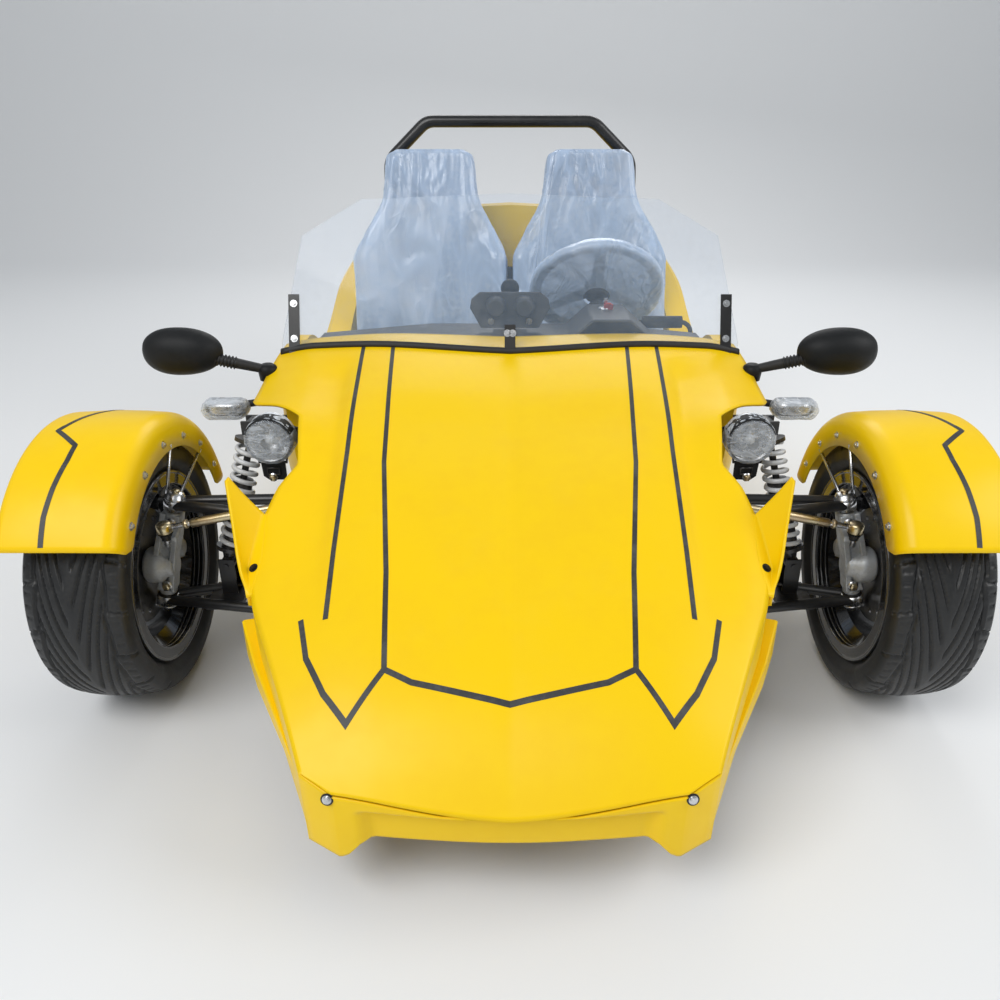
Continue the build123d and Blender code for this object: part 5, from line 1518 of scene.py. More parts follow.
# Film bag pulled over each seat back, open at its hem

bag = {
    # up the back, half width, bolster front, dish half width, dish front
    "rows": [
        (190, 228, 50, 128, 6), (300, 228, 50, 128, 8), (524, 228, 50, 128, 10), (600, 198, 28, 108, 12),
        (720, 139, 13, 80, 11), (830, 126, 9, 72, 8), (850, 116, 6, 60, 6),
    ],
    "backDepth": 76, "upCount": 120, "around": 190, "loose": 4,
}


def bagOutline(up, share):
    # share runs 0 to 1 round the section, from the middle of the front
    half, bolster, dishHalf, dish = (
        easedValue([(row[0], row[column]) for row in bag["rows"]], up) for column in (1, 2, 3, 4)
    )
    half, bolster, dish = half + bag["loose"], bolster + bag["loose"], dish + bag["loose"]
    back = -(bag["backDepth"] + bag["loose"])
    corners = [
        (0, dish), (dishHalf * 0.7, dish + 1), (lerp(dishHalf, half - 44, 0.5), lerp(dish, bolster, 0.5)),
        (half - 46, bolster - 2), (half - 22, bolster), (half - 6, bolster - 7), (half, bolster - 20),
        (half, back + 22), (half - 7, back + 6), (half - 24, back), (0, back),
    ]
    way = 1
    if share > 0.5:
        share = 1 - share
        way = -1
    lengths, xTable, depthTable = routeTables(corners)
    run = share * 2 * lengths[-1]
    return straightValue(xTable, run) * way, straightValue(depthTable, run)


def buildBag(centreX, seed):
    points = []
    for i in range(bag["upCount"]):
        t = i / (bag["upCount"] - 1)
        up = lerp(190, 853, 1 - (1 - t) ** 1.15)
        for j in range(bag["around"]):
            share = j / bag["around"]
            x, depth = bagOutline(up, share)
            cap = smoothStep((up - 838) / 15)
            x, depth = x * lerp(1, 0.9, cap ** 2), lerp(depth, lerp(depth, -38, 0.12), cap ** 2)
            length = math.hypot(x, depth + 38)
            outX, outDepth = x / length, (depth + 38) / length
            turn = 2 * math.pi * share
            ring = Vector((math.cos(turn), math.sin(turn)))
            pleat = noise.noise(Vector((ring.x * 4.5, ring.y * 4.5, up * 0.0035 + seed)))
            pulled = noise.noise(Vector((ring.x * 8 + up * 0.009, ring.y * 8, up * 0.012 + seed * 2.3)))
            small = noise.noise(Vector((ring.x * 22, ring.y * 22, up * 0.03 + seed)))
            fold = 15.0 * (0.35 - abs(pleat)) + 6.0 * (0.3 - abs(pulled)) + 1.2 * small
            sides = lerp(0.45, 1.0, smoothStep((abs(x) / 228 - 0.45) / 0.3))
            calm = lerp(0.75, 1.0, smoothStep((up - 480) / 120)) * lerp(1.0, 0.3, cap) * sides
            fold = clamp(fold, -2.6, 9.5) * calm
            px, py, pz = backPoint(x + outX * fold, up, depth + outDepth * fold)
            points.append(at(centreX + px, py, pz))
    faces = gridFaces(bag["upCount"], bag["around"], closeColumns=True)
    last = (bag["upCount"] - 1) * bag["around"]
    middle = sum((point / bag["around"] for point in points[last:]), Vector((0, 0, 0)))
    points.append(middle + Vector((0, 0.0005, 0.003)))
    for j in range(bag["around"]):
        faces.append((last + j, last + (j + 1) % bag["around"], len(points) - 1))
    obj = newObject("seatBag", points, faces)
    cleanNormals(obj, 0.0002)
    return obj


for side, label in bothSides:
    padding = [buildSeatBack(seat["x"] * side), buildCushion(seat["x"] * side)]
    whole = joined(f"seat{label}", painted(padding, seatVinyl))
    allSmooth(whole)
    piece(whole, "root", None, [f"seat_{label.lower()}"])
    film = buildBag(seat["x"] * side, seat["seeds"][label])
    piece(film, "root", seatFilm)
    film.name = f"seatBag{label}"
print("seats made")


# Instrument pod: hexagonal plate with two gauges behind it

pod = {
    "y": -250,
    "outline": [
        (-96, 684), (-92, 706), (-72, 722), (72, 722), (92, 706), (96, 684), (70, 636), (-70, 636),
    ],
    "gaugeX": 34, "gaugeZ": 690, "screws": [(-46, 652), (46, 652), (-28, 706), (28, 706)],
    "can": [
        (-0.034, 0.0), (-0.034, 0.018), (-0.030, 0.022), (0.0, 0.026), (0.006, 0.027), (0.008, 0.024),
        (0.0065, 0.023), (0.0065, 0.0),
    ],
}


def buildPod():
    plate = flatPlate("podPlate", pod["outline"], at(0, pod["y"], 0), (1, 0, 0), (0, 0, 1), 5)
    shapes = [softened(plate, 1.5)]
    for side in (1, -1):
        centre = at(pod["gaugeX"] * side, pod["y"], pod["gaugeZ"])
        shapes.append(turnedObject("gauge", pod["can"], centre, (0, 1, 0), 40))
    foot = flatPlate(
        "podFoot", [(-40, -330), (40, -330), (40, -250), (-40, -250)], at(0, 0, 628.3), (1, 0, 0),
        (0, 1, 0), 5,
    )
    return joined("instrumentPod", painted(shapes + [foot], plasticGrey))


podPiece = buildPod()
for polygon in podPiece.data.polygons:
    polygon.use_smooth = len(polygon.vertices) == 4 and polygon.area < 0.0002
piece(podPiece, "root", None, ["instrument_pod"])
podBolts = [(at(x, pod["y"] - 5, z), (0, -1, 0)) for x, z in pod["screws"]]
piece(boltRow("podBolts", podBolts, zincBright, head=5.5, washer=8), "root")


# Front springs and rear springs

springs = {
    "front": {"low": (596, -715, 253), "high": (525, -650, 536), "body": "front_springs"},
    "rear": {"low": (190.3, 980, 335), "high": (190.3, 860, 600), "body": "rear_springs"},
    "seatFrom": 36.3, "coil": 23, "wire": 5, "turns": 11,
}
for label in ("front", "rear"):
    coils = []
    for side in (1, -1):
        low = sidePoint(springs[label]["low"], side)
        high = sidePoint(springs[label]["high"], side)
        run = (high - low).normalized()
        start = low + run * (springs["seatFrom"] + springs["wire"]) / 1000
        end = high - run * (springs["seatFrom"] + springs["wire"]) / 1000
        coils.append(
            coilSpring(
                f"coil{label}{side}", start, end, springs["coil"], springs["wire"], springs["turns"],
                springWhite,
            ),
        )
    piece(allSmooth(joined(f"{label}Coils", coils)), "root", None, [springs[label]["body"]])
print("springs made")


# Headlights: round clear lamp in a film wrap, black cap and bracket

headlight = {
    "x": 470, "y": -740, "z": 536, "lens": (0.014, 0.0418), "lensBack": 0.006, "hood": (20, 160),
    "bowl": [
        (-0.044, 0.0), (-0.044, 0.012), (-0.03, 0.031), (-0.006, 0.042), (0.0, 0.0435), (0.0, 0.041),
        (-0.008, 0.038), (-0.028, 0.026), (-0.036, 0.01), (-0.036, 0.0),
    ],
    "ring": [
        (-0.014, 0.0425), (-0.014, 0.0455), (-0.002, 0.046), (0.002, 0.0445), (0.002, 0.042),
        (-0.002, 0.0415),
    ],
    "bulb": [
        (-0.036, 0.006), (-0.02, 0.007), (-0.016, 0.009), (-0.008, 0.009), (-0.004, 0.005), (-0.003, 0.0),
    ],
    "shade": [(0.047, 0.004), (0.0485, -0.004), (0.0485, -0.026), (0.045, -0.034)],
    "film": {"radius": 0.0475, "back": -0.036, "front": 0.012, "closeFrom": 0.7},
}


def buildHeadlight(side):
    centre = at(headlight["x"] * side, headlight["y"], headlight["z"])
    forward = Vector((0, -1, 0))
    deep, wide = headlight["lens"]
    lens = []
    for i in range(9):
        angle = math.pi / 2 * i / 8
        lens.append((deep * math.cos(angle), wide * math.sin(angle) + 0.0001))
    shapes = [
        turned(zincBright, headlight["bowl"], centre, forward, 48),
        turned(plasticBlack, headlight["ring"], centre, forward, 48),
        turned(lampLens, lens, centre - forward * headlight["lensBack"], forward, 48),
        turned(springWhite, headlight["bulb"], centre, forward, 24),
    ]
    cap = []
    for i in range(13):
        angle = math.radians(lerp(*headlight["hood"], i / 12))
        for reach, depth in headlight["shade"]:
            cap.append(centre + Vector((math.cos(angle) * reach, -depth, math.sin(angle) * reach)))
    shade = walled(cleanObject("shade", cap, gridFaces(13, 4)), 1.2)
    arm = flatPlate(
        "arm", [(-700, 506), (-673.3, 506), (-673.3, 540), (-700, 540)],
        centre - Vector((0.014, centre.y, centre.z)), (0, 1, 0), (0, 0, 1), 5,
    )
    shapes += [setMaterial(shade, plasticBlack), setMaterial(arm, frameBlack)]
    film = headlight["film"]
    points = []
    rows, around = 25, 60
    for i in range(rows):
        t = i / (rows - 1)
        along = lerp(film["back"], film["front"], t)
        radius = film["radius"]
        if t >= film["closeFrom"]:
            radius *= math.sqrt(max(0.0, 1 - ((t - film["closeFrom"]) / 0.31) ** 2))
        for c, s in circle(around):
            crinkle = noise.noise(Vector((c * 4, s * 4, t * 5 + side * 3)))
            r = radius + 0.003 * abs(crinkle) * (1 if t < 0.98 else 0)
            points.append(centre + Vector((c * r, -along, s * r)))
    wrap = cleanObject("wrap", points, gridFaces(rows, around, closeColumns=True))
    return shapes, setMaterial(wrap, wrapFilm)


(leftShapes, leftWrap), (rightShapes, rightWrap) = buildHeadlight(1), buildHeadlight(-1)
headlamps = allSmooth(joined("headlamps", leftShapes + rightShapes))
piece(headlamps, "root", None, ["headlights"])
piece(allSmooth(joined("headlampWraps", [leftWrap, rightWrap])), "root")

# Mirrors: oval heads with a flat glass behind and a ribbed neck

mirror = {
    "head": (702, -500, 648), "halfW": 85, "halfH": 54, "foot": (534, -470, 598),
    "around": 56, "pane": (0.0765, 0.0095, 0.047),
    # depth behind the middle, then the share of the full outline
    "rings": [(9, 0.93), (8, 0.985), (4, 1.0), (-4, 1.0), (-14, 0.955), (-26, 0.84), (-36, 0.66), (-43, 0.42),
              (-46, 0.15)],
    "neck": (-0.062, -0.010, -0.012), "ribbed": 0.42, "ribs": 7,
    "base": [(-0.022, 0.0), (-0.022, 0.019), (0.0, 0.0215), (0.008, 0.019), (0.013, 0.012), (0.014, 0.0)],
}


def buildMirror(side):
    head = sidePoint(mirror["head"], side)
    rings = mirror["rings"]
    points = []
    for depth, scale in rings:
        for c, n in circle(mirror["around"]):
            # the outer end is fuller than the end at the neck
            taper = 1 - 0.12 * (1 - c * side) * 0.5
            x = mirror["halfW"] * scale * rounded(c, 0.9) / 1000
            z = mirror["halfH"] * scale * taper * rounded(n, 0.9) / 1000
            points.append(head + Vector((x, depth / 1000, z)))
    shell = cleanObject(
        f"mirrorShell{side}", points,
        gridFaces(len(rings), mirror["around"], closeColumns=True, capped=True),
    )
    setMaterial(shell, plasticBlack)
    wide, deep, tall = mirror["pane"]
    pane = [head + Vector((wide * c, deep, tall * s)) for c, s in circle(mirror["around"])]
    glass = newObject("pane", pane, [tuple(range(len(pane)))], smooth=False)
    setMaterial(facing(glass, (0, 1, 0)), mirrorGlass)
    foot = sidePoint(mirror["foot"], side)
    joint = head + Vector((mirror["neck"][0] * side, *mirror["neck"][1:]))
    path = [lerp(joint, foot, i / 60) for i in range(61)]

    def neckRadius(t):
        if t < mirror["ribbed"]:
            return 0.0125 + 0.0022 * math.cos(t / mirror["ribbed"] * 2 * math.pi * mirror["ribs"])
        return lerp(0.0115, 0.0095, (t - mirror["ribbed"]) / (1 - mirror["ribbed"]))

    neck = setMaterial(tubeObject("neck", path, neckRadius, 20), rubberBlack)
    base = turned(plasticBlack, mirror["base"], foot, (0, 0, 1), 28)
    return [shell, glass, neck, base]


mirrorPiece = quadsSmooth(joined("mirrorPair", buildMirror(1) + buildMirror(-1)))
piece(mirrorPiece, "root", None, ["mirrors"])

# Turn signals: clear slotted lamps in film on short black stalks

signal = {
    "lamp": (630, -490, 518), "half": 50, "tall": 20, "stalkEnd": (455.5, -440, 530),
    # rings of each part: how far ahead of the lamp's middle, then the share of the full slot
    "base": [(-13, 0.86), (-12, 0.95), (2, 0.99), (3, 0.95)],
    "inner": [(3, 0.8), (12, 0.7), (20, 0.4)],
    "lens": [(2, 0.99), (12, 0.97), (24, 0.9), (33, 0.78), (37, 0.6)],
    "wrap": [(-14, 1.02), (-4, 1.05), (10, 1.05), (26, 1.0), (37, 0.88), (39, 0.6)],
}


def buildSignal(side):
    centre = sidePoint(signal["lamp"], side)

    def slotRings(rings):
        points = []
        for depth, grow in rings:
            for c, n in circle(48):
                radius = signal["tall"] * grow
                x = math.copysign((signal["half"] - signal["tall"]) * grow, c) + radius * c
                points.append(centre + Vector((x, -depth, radius * n)) / 1000)
        return cleanObject("slot", points, gridFaces(len(rings), 48, closeColumns=True, capped=True))

    shapes = [
        setMaterial(slotRings(signal[part]), material)
        for part, material in (("base", plasticBlack), ("inner", zincBright), ("lens", lampLens))
    ]
    start = centre + Vector((-0.030 * side, 0.004, 0.004))
    end = sidePoint(signal["stalkEnd"], side)
    stalk = tubeObject("stalk", [lerp(start, end, i / 10) for i in range(11)], 0.008, 16)
    shapes.append(setMaterial(stalk, rubberBlack))
    wrap = slotRings(signal["wrap"])
    subdivided(wrap, 2)
    for vertex in wrap.data.vertices:
        away = (vertex.co - centre).normalized()
        vertex.co += away * 0.0016 * noise.noise(vertex.co * 90 + Vector((side * 7, 0, 0)))
    setMaterial(wrap, wrapFilm)
    return shapes, wrap


(leftShapes, leftWrap), (rightShapes, rightWrap) = buildSignal(1), buildSignal(-1)
signalPiece = quadsSmooth(joined("turnSignalPair", leftShapes + rightShapes))
piece(signalPiece, "root", None, ["turn_signals"])
piece(allSmooth(joined("turnSignalWraps", [leftWrap, rightWrap])), "root")
print("lamps and mirrors made")


# Front corners: cast uprights, calipers, ball joints and hexagonal tie rods

corner = {
    "hub": (780, -750, 265.5), "low": (725, -750, 186), "high": (671, -750, 408), "tie": (665, -830, 394),
    "uprightHalf": 18.5, "rackHalf": 301, "rackY": -830, "rackZ": 468,
    # the casting's web, its two ribs and the steering arm's plan
    "profile": [
        (702, 206), (737, 215), (730, 231), (729, 300), (716, 340), (697, 394), (659, 384.5), (672, 330),
        (686, 286),
    ],
    "ribs": [
        [(702, 206), (713, 209), (698, 290), (672, 388), (659, 384.5), (686, 286)],
        [(724, 212), (737, 215), (730, 231), (729, 300), (697, 394), (686, 391), (717, 300)],
    ],
    "arm": [(697, -750), (679, -819), (651, -819), (663, -750)], "armDrop": 26, "armThick": 12,
    # along the hub's axis from the wheel's middle inwards, then radius
    "boss": [(0.030, 0.0), (0.030, 0.034), (0.036, 0.038), (0.064, 0.036), (0.070, 0.027), (0.084, 0.026),
             (0.088, 0.022), (0.088, 0.0)],
    "spindle": [(0.030, 0.0), (0.030, 0.0148), (-0.060, 0.0148), (-0.073, 0.012), (-0.073, 0.0)],
    "eye": [(0.016, 0.0), (0.016, 0.016), (0.019, 0.018), (0.034, 0.018), (0.038, 0.015), (0.038, 0.0)],
    "clampBolts": [(678, 372), (712, 226)],
}


def prism(name, base, back, bevel):
    # a cast plate between two like outlines
    n = len(base)
    faces = [tuple(range(n)), tuple(range(2 * n - 1, n - 1, -1))]
    faces += [(i, n + i, n + (i + 1) % n, (i + 1) % n) for i in range(n)]
    return softened(cleanObject(name, base + back, faces, smooth=False), bevel, 3)


def castPlate(outline, side, frontY, backY, bevel):
    base, back = ([at(x * side, y, z) for x, z in outline] for y in (frontY, backY))
    return prism("plate", base, back, bevel)


def buildUpright(side, label):
    hub, low, high = (sidePoint(corner[key], side) for key in ("hub", "low", "high"))
    lean = (high - low).normalized()
    inboard = Vector((-side, 0, 0))
    half = corner["uprightHalf"]
    middleY = corner["hub"][1]
    cast = [castPlate(corner["profile"], side, middleY - half * 0.55, middleY + half, 5)]
    cast += [castPlate(rib, side, middleY - half, middleY - half * 0.4, 2.5) for rib in corner["ribs"]]
    cast.append(turnedObject("boss", corner["boss"], hub, inboard, 40))
    spindle = turnedObject("spindle", corner["spindle"], hub, inboard, 28)
    for centre, way in ((low, 1), (high, -1)):
        cast.append(turnedObject("eye", corner["eye"], centre, lean * way, 32))
    armTop = corner["tie"][2] - corner["armDrop"]
    base, back = (
        [at(x * side, y, z) for x, y in corner["arm"]] for z in (armTop - corner["armThick"], armTop)
    )
    cast.append(prism("arm", base, back, 3))
    shapes = painted(cast, castGrey) + [setMaterial(spindle, zincBright)]
    for centre, way in ((low, -1), (high, 1)):
        shapes.append(turned(zincBright, rod(-0.02, 0.006, 0.007), centre, lean * way, 18))
    # clamp bolts, heads facing forwards
    for x, z in corner["clampBolts"]:
        place = at(x * side, middleY - half - 0.5, z)
        shapes.append(turned(zincBright, rod(0, 0.0018, 0.011), place, (0, -1, 0), 24))
        shapes.append(hexNut(zincGold, place + Vector((0, -0.0018, 0)), (0, -1, 0), 14, 8))
    return joined(f"upright{label}", shapes)


caliper = {
    # x from the disc's outer face, reach from the axle, y and z from the hub
    "discIn": 28, "halves": [(-26, -2.5), (8.5, 29.5)], "outer": 134, "inner": 75, "degrees": (-22, 32),
    "bridge": [(-4, 122.5), (10, 122.5), (10, 134), (-4, 134)], "bridgeDegrees": (-18, 28),
    "piston": [(-0.003, 0.0), (-0.003, 0.020), (0.006, 0.020), (0.009, 0.017), (0.009, 0.0)],
    "pistonDegrees": (-9, 19), "pistonReach": 104,
    "lug": [(-26, -10), (-8, -10), (-8, 22), (-26, 22)], "lugY": (38.5, 78),
    "bleed": [(0, 0), (0, 0.004), (0.014, 0.004), (0.016, 0.0025), (0.022, 0.0025), (0.022, 0)],
}


def arcPoints(reach, low, high, count=15):
    angles = [math.radians(lerp(low, high, i / (count - 1))) for i in range(count)]
    return [(reach * math.cos(angle), reach * math.sin(angle)) for angle in angles]


def buildCaliper(side, label):
    hubX, hubY, hubZ = corner["hub"]
    discX = hubX - caliper["discIn"]
    low, high = caliper["degrees"]
    outline = arcPoints(caliper["outer"], low, high) + arcPoints(caliper["inner"], high, low)
    shapes = []
    # two halves, in front of and behind the disc's plane, bridged over its edge
    for x0, x1 in caliper["halves"]:
        points = []
        for x, inset in ((x0, 3), (x0 + 4, 0), (x1 - 3, 0), (x1, 2)):
            for along, rise in outline:
                reach = math.hypot(along, rise)
                fit = (reach + (inset if reach < 100 else -inset)) / reach
                points.append(at((discX + x) * side, hubY + along * fit, hubZ + rise * fit))
        n = len(outline)
        faces = gridFaces(4, n, closeColumns=True) + [tuple(range(n)), tuple(range(3 * n, 4 * n))[::-1]]
        shapes.append(cleanObject("half", points, faces, smooth=False))
    bridge = []
    low, high = caliper["bridgeDegrees"]
    for i in range(15):
        angle = math.radians(lerp(low, high, i / 14))
        for x, reach in caliper["bridge"]:
            bridge.append(
                at((discX + x) * side, hubY + reach * math.cos(angle), hubZ + reach * math.sin(angle)),
            )
    faces = gridFaces(15, 4, closeColumns=True) + [(0, 1, 2, 3), (59, 58, 57, 56)]
    shapes.append(cleanObject("bridge", bridge, faces, smooth=False))
    for degrees in caliper["pistonDegrees"]:
        angle = math.radians(degrees)
        reach = caliper["pistonReach"]
        place = at((discX - 26) * side, hubY + reach * math.cos(angle), hubZ + reach * math.sin(angle))
        shapes.append(turnedObject("piston", caliper["piston"], place, (-side, 0, 0), 30))
    frontY, backY = caliper["lugY"]
    lug = [(discX + x, hubZ + z) for x, z in caliper["lug"]]
    shapes.append(castPlate(lug, side, hubY + frontY, hubY + backY, 2))
    banjo = at((discX - 26) * side, hubY + 112, hubZ + 46)
    bleed = at((discX - 30) * side, hubY + 96, hubZ + 58)
    fittings = [
        hexNut(zincBright, banjo, (-side, 0, 0), 14, 9),
        turned(zincBright, caliper["bleed"], bleed, (-0.5 * side, 0, 0.86), 14),
    ]
    return joined(f"caliper{label}", painted(shapes, castGrey) + fittings)


for side, label in bothSides:
    body = f"upright_{label.lower()}"
    piece(buildUpright(side, label), body, None, [f"knuckle_{label.lower()}"])
    piece(buildCaliper(side, label), body, None, [f"caliper_{label.lower()}"])


tieRod = {
    "inner": [(0.0, 0.0), (0.0, 0.013), (0.02, 0.014), (0.03, 0.009), (0.03, 0.0)],
    "housing": [
        (-0.011, 0.0), (-0.011, 0.0125), (-0.008, 0.0148), (0.007, 0.0148), (0.0105, 0.012), (0.011, 0.0),
    ],
    "hexReach": 0.0088, "pitch": 0.0042,
}


def buildTieRods():
    half, rackY, rackZ = corner["rackHalf"], corner["rackY"], corner["rackZ"]
    bar = rod(-half / 1000, half / 1000, 0.0108)
    shapes = [turned(discSteel, bar, at(0, rackY, rackZ), (1, 0, 0), 24)]
    for side in (1, -1):
        inner = at((half - 8) * side, rackY, rackZ)
        outer = sidePoint(corner["tie"], side)
        run = (outer - inner).normalized()
        length = (outer - inner).length
        shapes.append(turned(zincBright, tieRod["inner"], inner, run, 24))
        reach, start, end = tieRod["hexReach"], 0.03, length - 0.054
        bar = [
            (start, 0.0), (start, reach * 0.9), (start + 0.004, reach), (end - 0.004, reach),
            (end, reach * 0.9), (end, 0.0),
        ]
        shapes.append(turned(zincGold, bar, inner, run, 6))
        thread = [(length - 0.056, 0.0), (length - 0.056, 0.005)]
        for i in range(9):
            base = end + i * tieRod["pitch"]
            thread += [(base, 0.0048), (base + tieRod["pitch"] / 2, 0.0058)]
        thread += [(length - 0.014, 0.005), (length - 0.014, 0.0)]
        shapes.append(turned(zincBright, thread, inner, run, 20))
        shapes.append(hexNut(zincGold, inner + run * (length - 0.048), run, 16, 7))
        shapes.append(turned(zincGold, tieRod["housing"], outer, (0, 0, 1), 32))
        boot = [(0.011, 0.0145)]
        for i in range(5):
            boot += [(0.012 + i * 0.0024, 0.0135 - i * 0.0011), (0.0132 + i * 0.0024, 0.0118 - i * 0.0011)]
        boot += [(0.0255, 0.0085), (0.0255, 0.0)]
        shapes.append(turned(rubberBlack, boot, outer, (0, 0, -1), 28))
        shapes.append(turned(zincBright, rod(0.0, 0.040, 0.0058), outer, (0, 0, -1), 16))
    return joined("tieRods", shapes)


piece(buildTieRods(), "rack_bar", None, ["tie_rods"])


ballJoint = {
    "cup": [(0.0115, 0.0), (0.0115, 0.0205), (0.014, 0.0215), (0.016, 0.0175), (0.022, 0.016), (0.024, 0.011),
            (0.024, 0.0)],
    "collar": [(-0.0112, 0.0198), (-0.0112, 0.0212), (0.0112, 0.0212), (0.0112, 0.0198)],
    "boot": [(0.0115, 0.0185), (0.0122, 0.0190), (0.0135, 0.0172), (0.0142, 0.0178), (0.0152, 0.0160),
             (0.0157, 0.0150), (0.0157, 0.0078)],
    "capAt": 0.024,
    # inner bushes: x, z, then the y of each
    "bushes": [(300, 172, (-810, -600)), (330, 412, (-838, -734))], "bushHalf": 24.4,
}


def buildJoints():
    # silver housings, boots and nuts at the outer ends of the arms, bolts at the inner bushes
    shapes = []
    for side in (1, -1):
        low, high = (sidePoint(corner[key], side) for key in ("low", "high"))
        lean = (high - low).normalized()
        for centre, way in ((low, -1), (high, 1)):
            out = lean * way
            shapes += [
                turned(zincBright, ballJoint["cup"], centre, out, 36),
                turned(zincBright, ballJoint["collar"], centre, out, 36),
                turned(rubberBlack, ballJoint["boot"], centre, lean * -way, 32),
                hexNut(zincGold, centre + out * ballJoint["capAt"], out, 13, 6),
            ]
        for x, z, rows in ballJoint["bushes"]:
            for y in rows:
                for way in (1, -1):
                    place = at(x * side, y + way * ballJoint["bushHalf"], z)
                    shapes.append(hexNut(zincBright, place, (0, way, 0), 17, 8))
    return joined("armJoints", shapes)


piece(buildJoints(), "root")
print("front corners made")


# Wheel nuts, hub caps and valves

wheelTrimShape = {
    # out from the wheel's middle along its axle, in millimetres
    "hubOut": 66, "nutOut": 48, "nutRing": 34, "nuts": 5, "valve": (26.4, 142, 30),
    "cap": [(-0.002, 0.0), (-0.002, 0.024), (0.003, 0.0245), (0.009, 0.022), (0.012, 0.016), (0.013, 0.0)],
    "stem": [(0.0, 0.0), (0.0, 0.0042), (0.020, 0.0042), (0.022, 0.0036), (0.032, 0.0036), (0.033, 0.0)],
}


def wheelTrim(label, outward):
    hubX, hubY, hubZ = frontHub
    shape = wheelTrimShape
    face = at((hubX + shape["hubOut"]) * outward, hubY, hubZ)
    shapes = [turned(rimBlack, shape["cap"], face, (outward, 0, 0), 36)]
    for i in range(shape["nuts"]):
        angle = 2 * math.pi * (i + 0.5) / shape["nuts"]
        place = at(
            (hubX + shape["nutOut"]) * outward, hubY + shape["nutRing"] * math.cos(angle),
            hubZ + shape["nutRing"] * math.sin(angle),
        )
        shapes.append(hexNut(zincBright, place, (outward, 0, 0), 17, 12))
    valveX, valveY, valveZ = shape["valve"]
    valve = at((hubX + valveX) * outward, hubY + valveY, hubZ + valveZ)
    shapes.append(turned(rubberBlack, shape["stem"], valve, (outward * 0.9, -0.4, 0), 14))
    return joined(f"wheelTrim{label}", shapes)


for side, label in bothSides:
    piece(wheelTrim(label, side), f"front_wheel_{label.lower()}")
print("wheel fittings made")


# Steering wheel: padded rim and three spokes, in a clear bag

wheel = {
    "centre": (236, 60, 663), "along": (0, 0.788, 0.616), "reach": 165, "grip": 15, "spokes": (30, 150, 270),
    "spokeWide": 26, "spokeThick": 5,
    "cap": [(-0.022, 0.0), (-0.022, 0.030), (0.004, 0.034), (0.012, 0.032), (0.017, 0.026), (0.019, 0.0)],
    # film: share of the way from the hub round the rim, then radius or lift in millimetres
    "bagRadius": [(0, 36), (0.4, 150), (0.5, 181), (0.56, 184), (0.66, 176)],
    "bagLift": [(0, -25), (0.4, -20), (0.5, -14), (0.56, 0), (0.66, 16)],
}


def wheelFrame():
    along = Vector(wheel["along"]).normalized()
    across = Vector((1, 0, 0))
    return at(*wheel["centre"]), along, across, along.cross(across)


def wheelPoint(radius, angle, lift=0.0):
    # radius and lift in millimetres, angle in radians from the car's left
    centre, along, across, rise = wheelFrame()
    return centre + (
        across * math.cos(angle) + rise * math.sin(angle)
    ) * radius / 1000 + along * lift / 1000


def buildWheel():
    centre, along, across, rise = wheelFrame()
    points = []
    around, section = 96, 18
    for i in range(around):
        angle = 2 * math.pi * i / around
        for c, s in circle(section):
            grip = wheel["grip"] * (1 - 0.05 * (0.5 + 0.5 * math.cos(angle * 48)))
            # thumb rests near the side spokes
            grip *= 1 + 0.08 * math.exp(-((math.degrees(angle) % 180 - 30) / 14) ** 2)
            grip = min(grip, wheel["grip"])
            points.append(wheelPoint(wheel["reach"] + grip * c, angle, grip * s))
    rim = cleanObject("wheelRim", points, gridFaces(around, section, closeRows=True, closeColumns=True))
    shapes = [setMaterial(rim, plasticBlack)]
    for degrees in wheel["spokes"]:
        angle = math.radians(degrees)
        outward = across * math.cos(angle) + rise * math.sin(angle)
        sideways = across * -math.sin(angle) + rise * math.cos(angle)
        rows = []
        for k in range(9):
            t = k / 8
            reach = lerp(20, wheel["reach"] - 4, t)
            wide = lerp(wheel["spokeWide"] * 0.72, wheel["spokeWide"] * 0.46, t)
            for a, b in ((-1, -1), (-1, 1), (1, 1), (1, -1)):
                rows.append(
                    centre + outward * reach / 1000 + sideways * a * wide / 1000
                    + along * b * wheel["spokeThick"] * 0.5 / 1000
                )
        spoke = cleanObject(f"spoke{degrees}", rows, gridFaces(9, 4, closeColumns=True), smooth=False)
        shapes.append(setMaterial(spoke, discSteel if degrees == 270 else frameBlack))
    shapes.append(turned(plasticBlack, wheel["cap"], centre, along, 48))
    return joined("steeringWheel", shapes)


piece(buildWheel(), "steering_wheel_body", None, ["steering_wheel"])


def buildWheelBag():
    # clear film over the wheel's front, ending round the rim
    points = []
    rows, around = 26, 120
    for i in range(rows):
        t = 0.66 * i / (rows - 1)
        for j, (c, s) in enumerate(circle(around)):
            angle = 2 * math.pi * j / around
            crease = noise.noise(Vector((c * 3, s * 3, t * 2.4)))
            fine = noise.noise(Vector((c * 9, s * 9, t * 6 + 4)))
            radius = straightValue(wheel["bagRadius"], t)
            lift = easedValue(wheel["bagLift"], t)
            radius += 3.0 * crease * smoothStep(t * 5) + 1.0 * fine
            lift += (4.0 * crease + 1.6 * fine) * math.sin(math.pi * t)
            points.append(wheelPoint(radius, angle, lift))
    return cleanObject("wheelBag", points, gridFaces(rows, around, closeColumns=True))


wheelBag = piece(buildWheelBag(), "steering_wheel_body", seatFilm)
print("steering wheel made")


# Dash: cover from the windscreen back over the knees, with a hump over the column

dash = {
    "front": -340, "back": -152, "half": 470, "low": 566, "side": 604, "top": 628, "flat": 200,
    "humpX": 236, "humpFoot": 128, "humpHalf": 44, "humpTop": 676, "wall": 5,
}


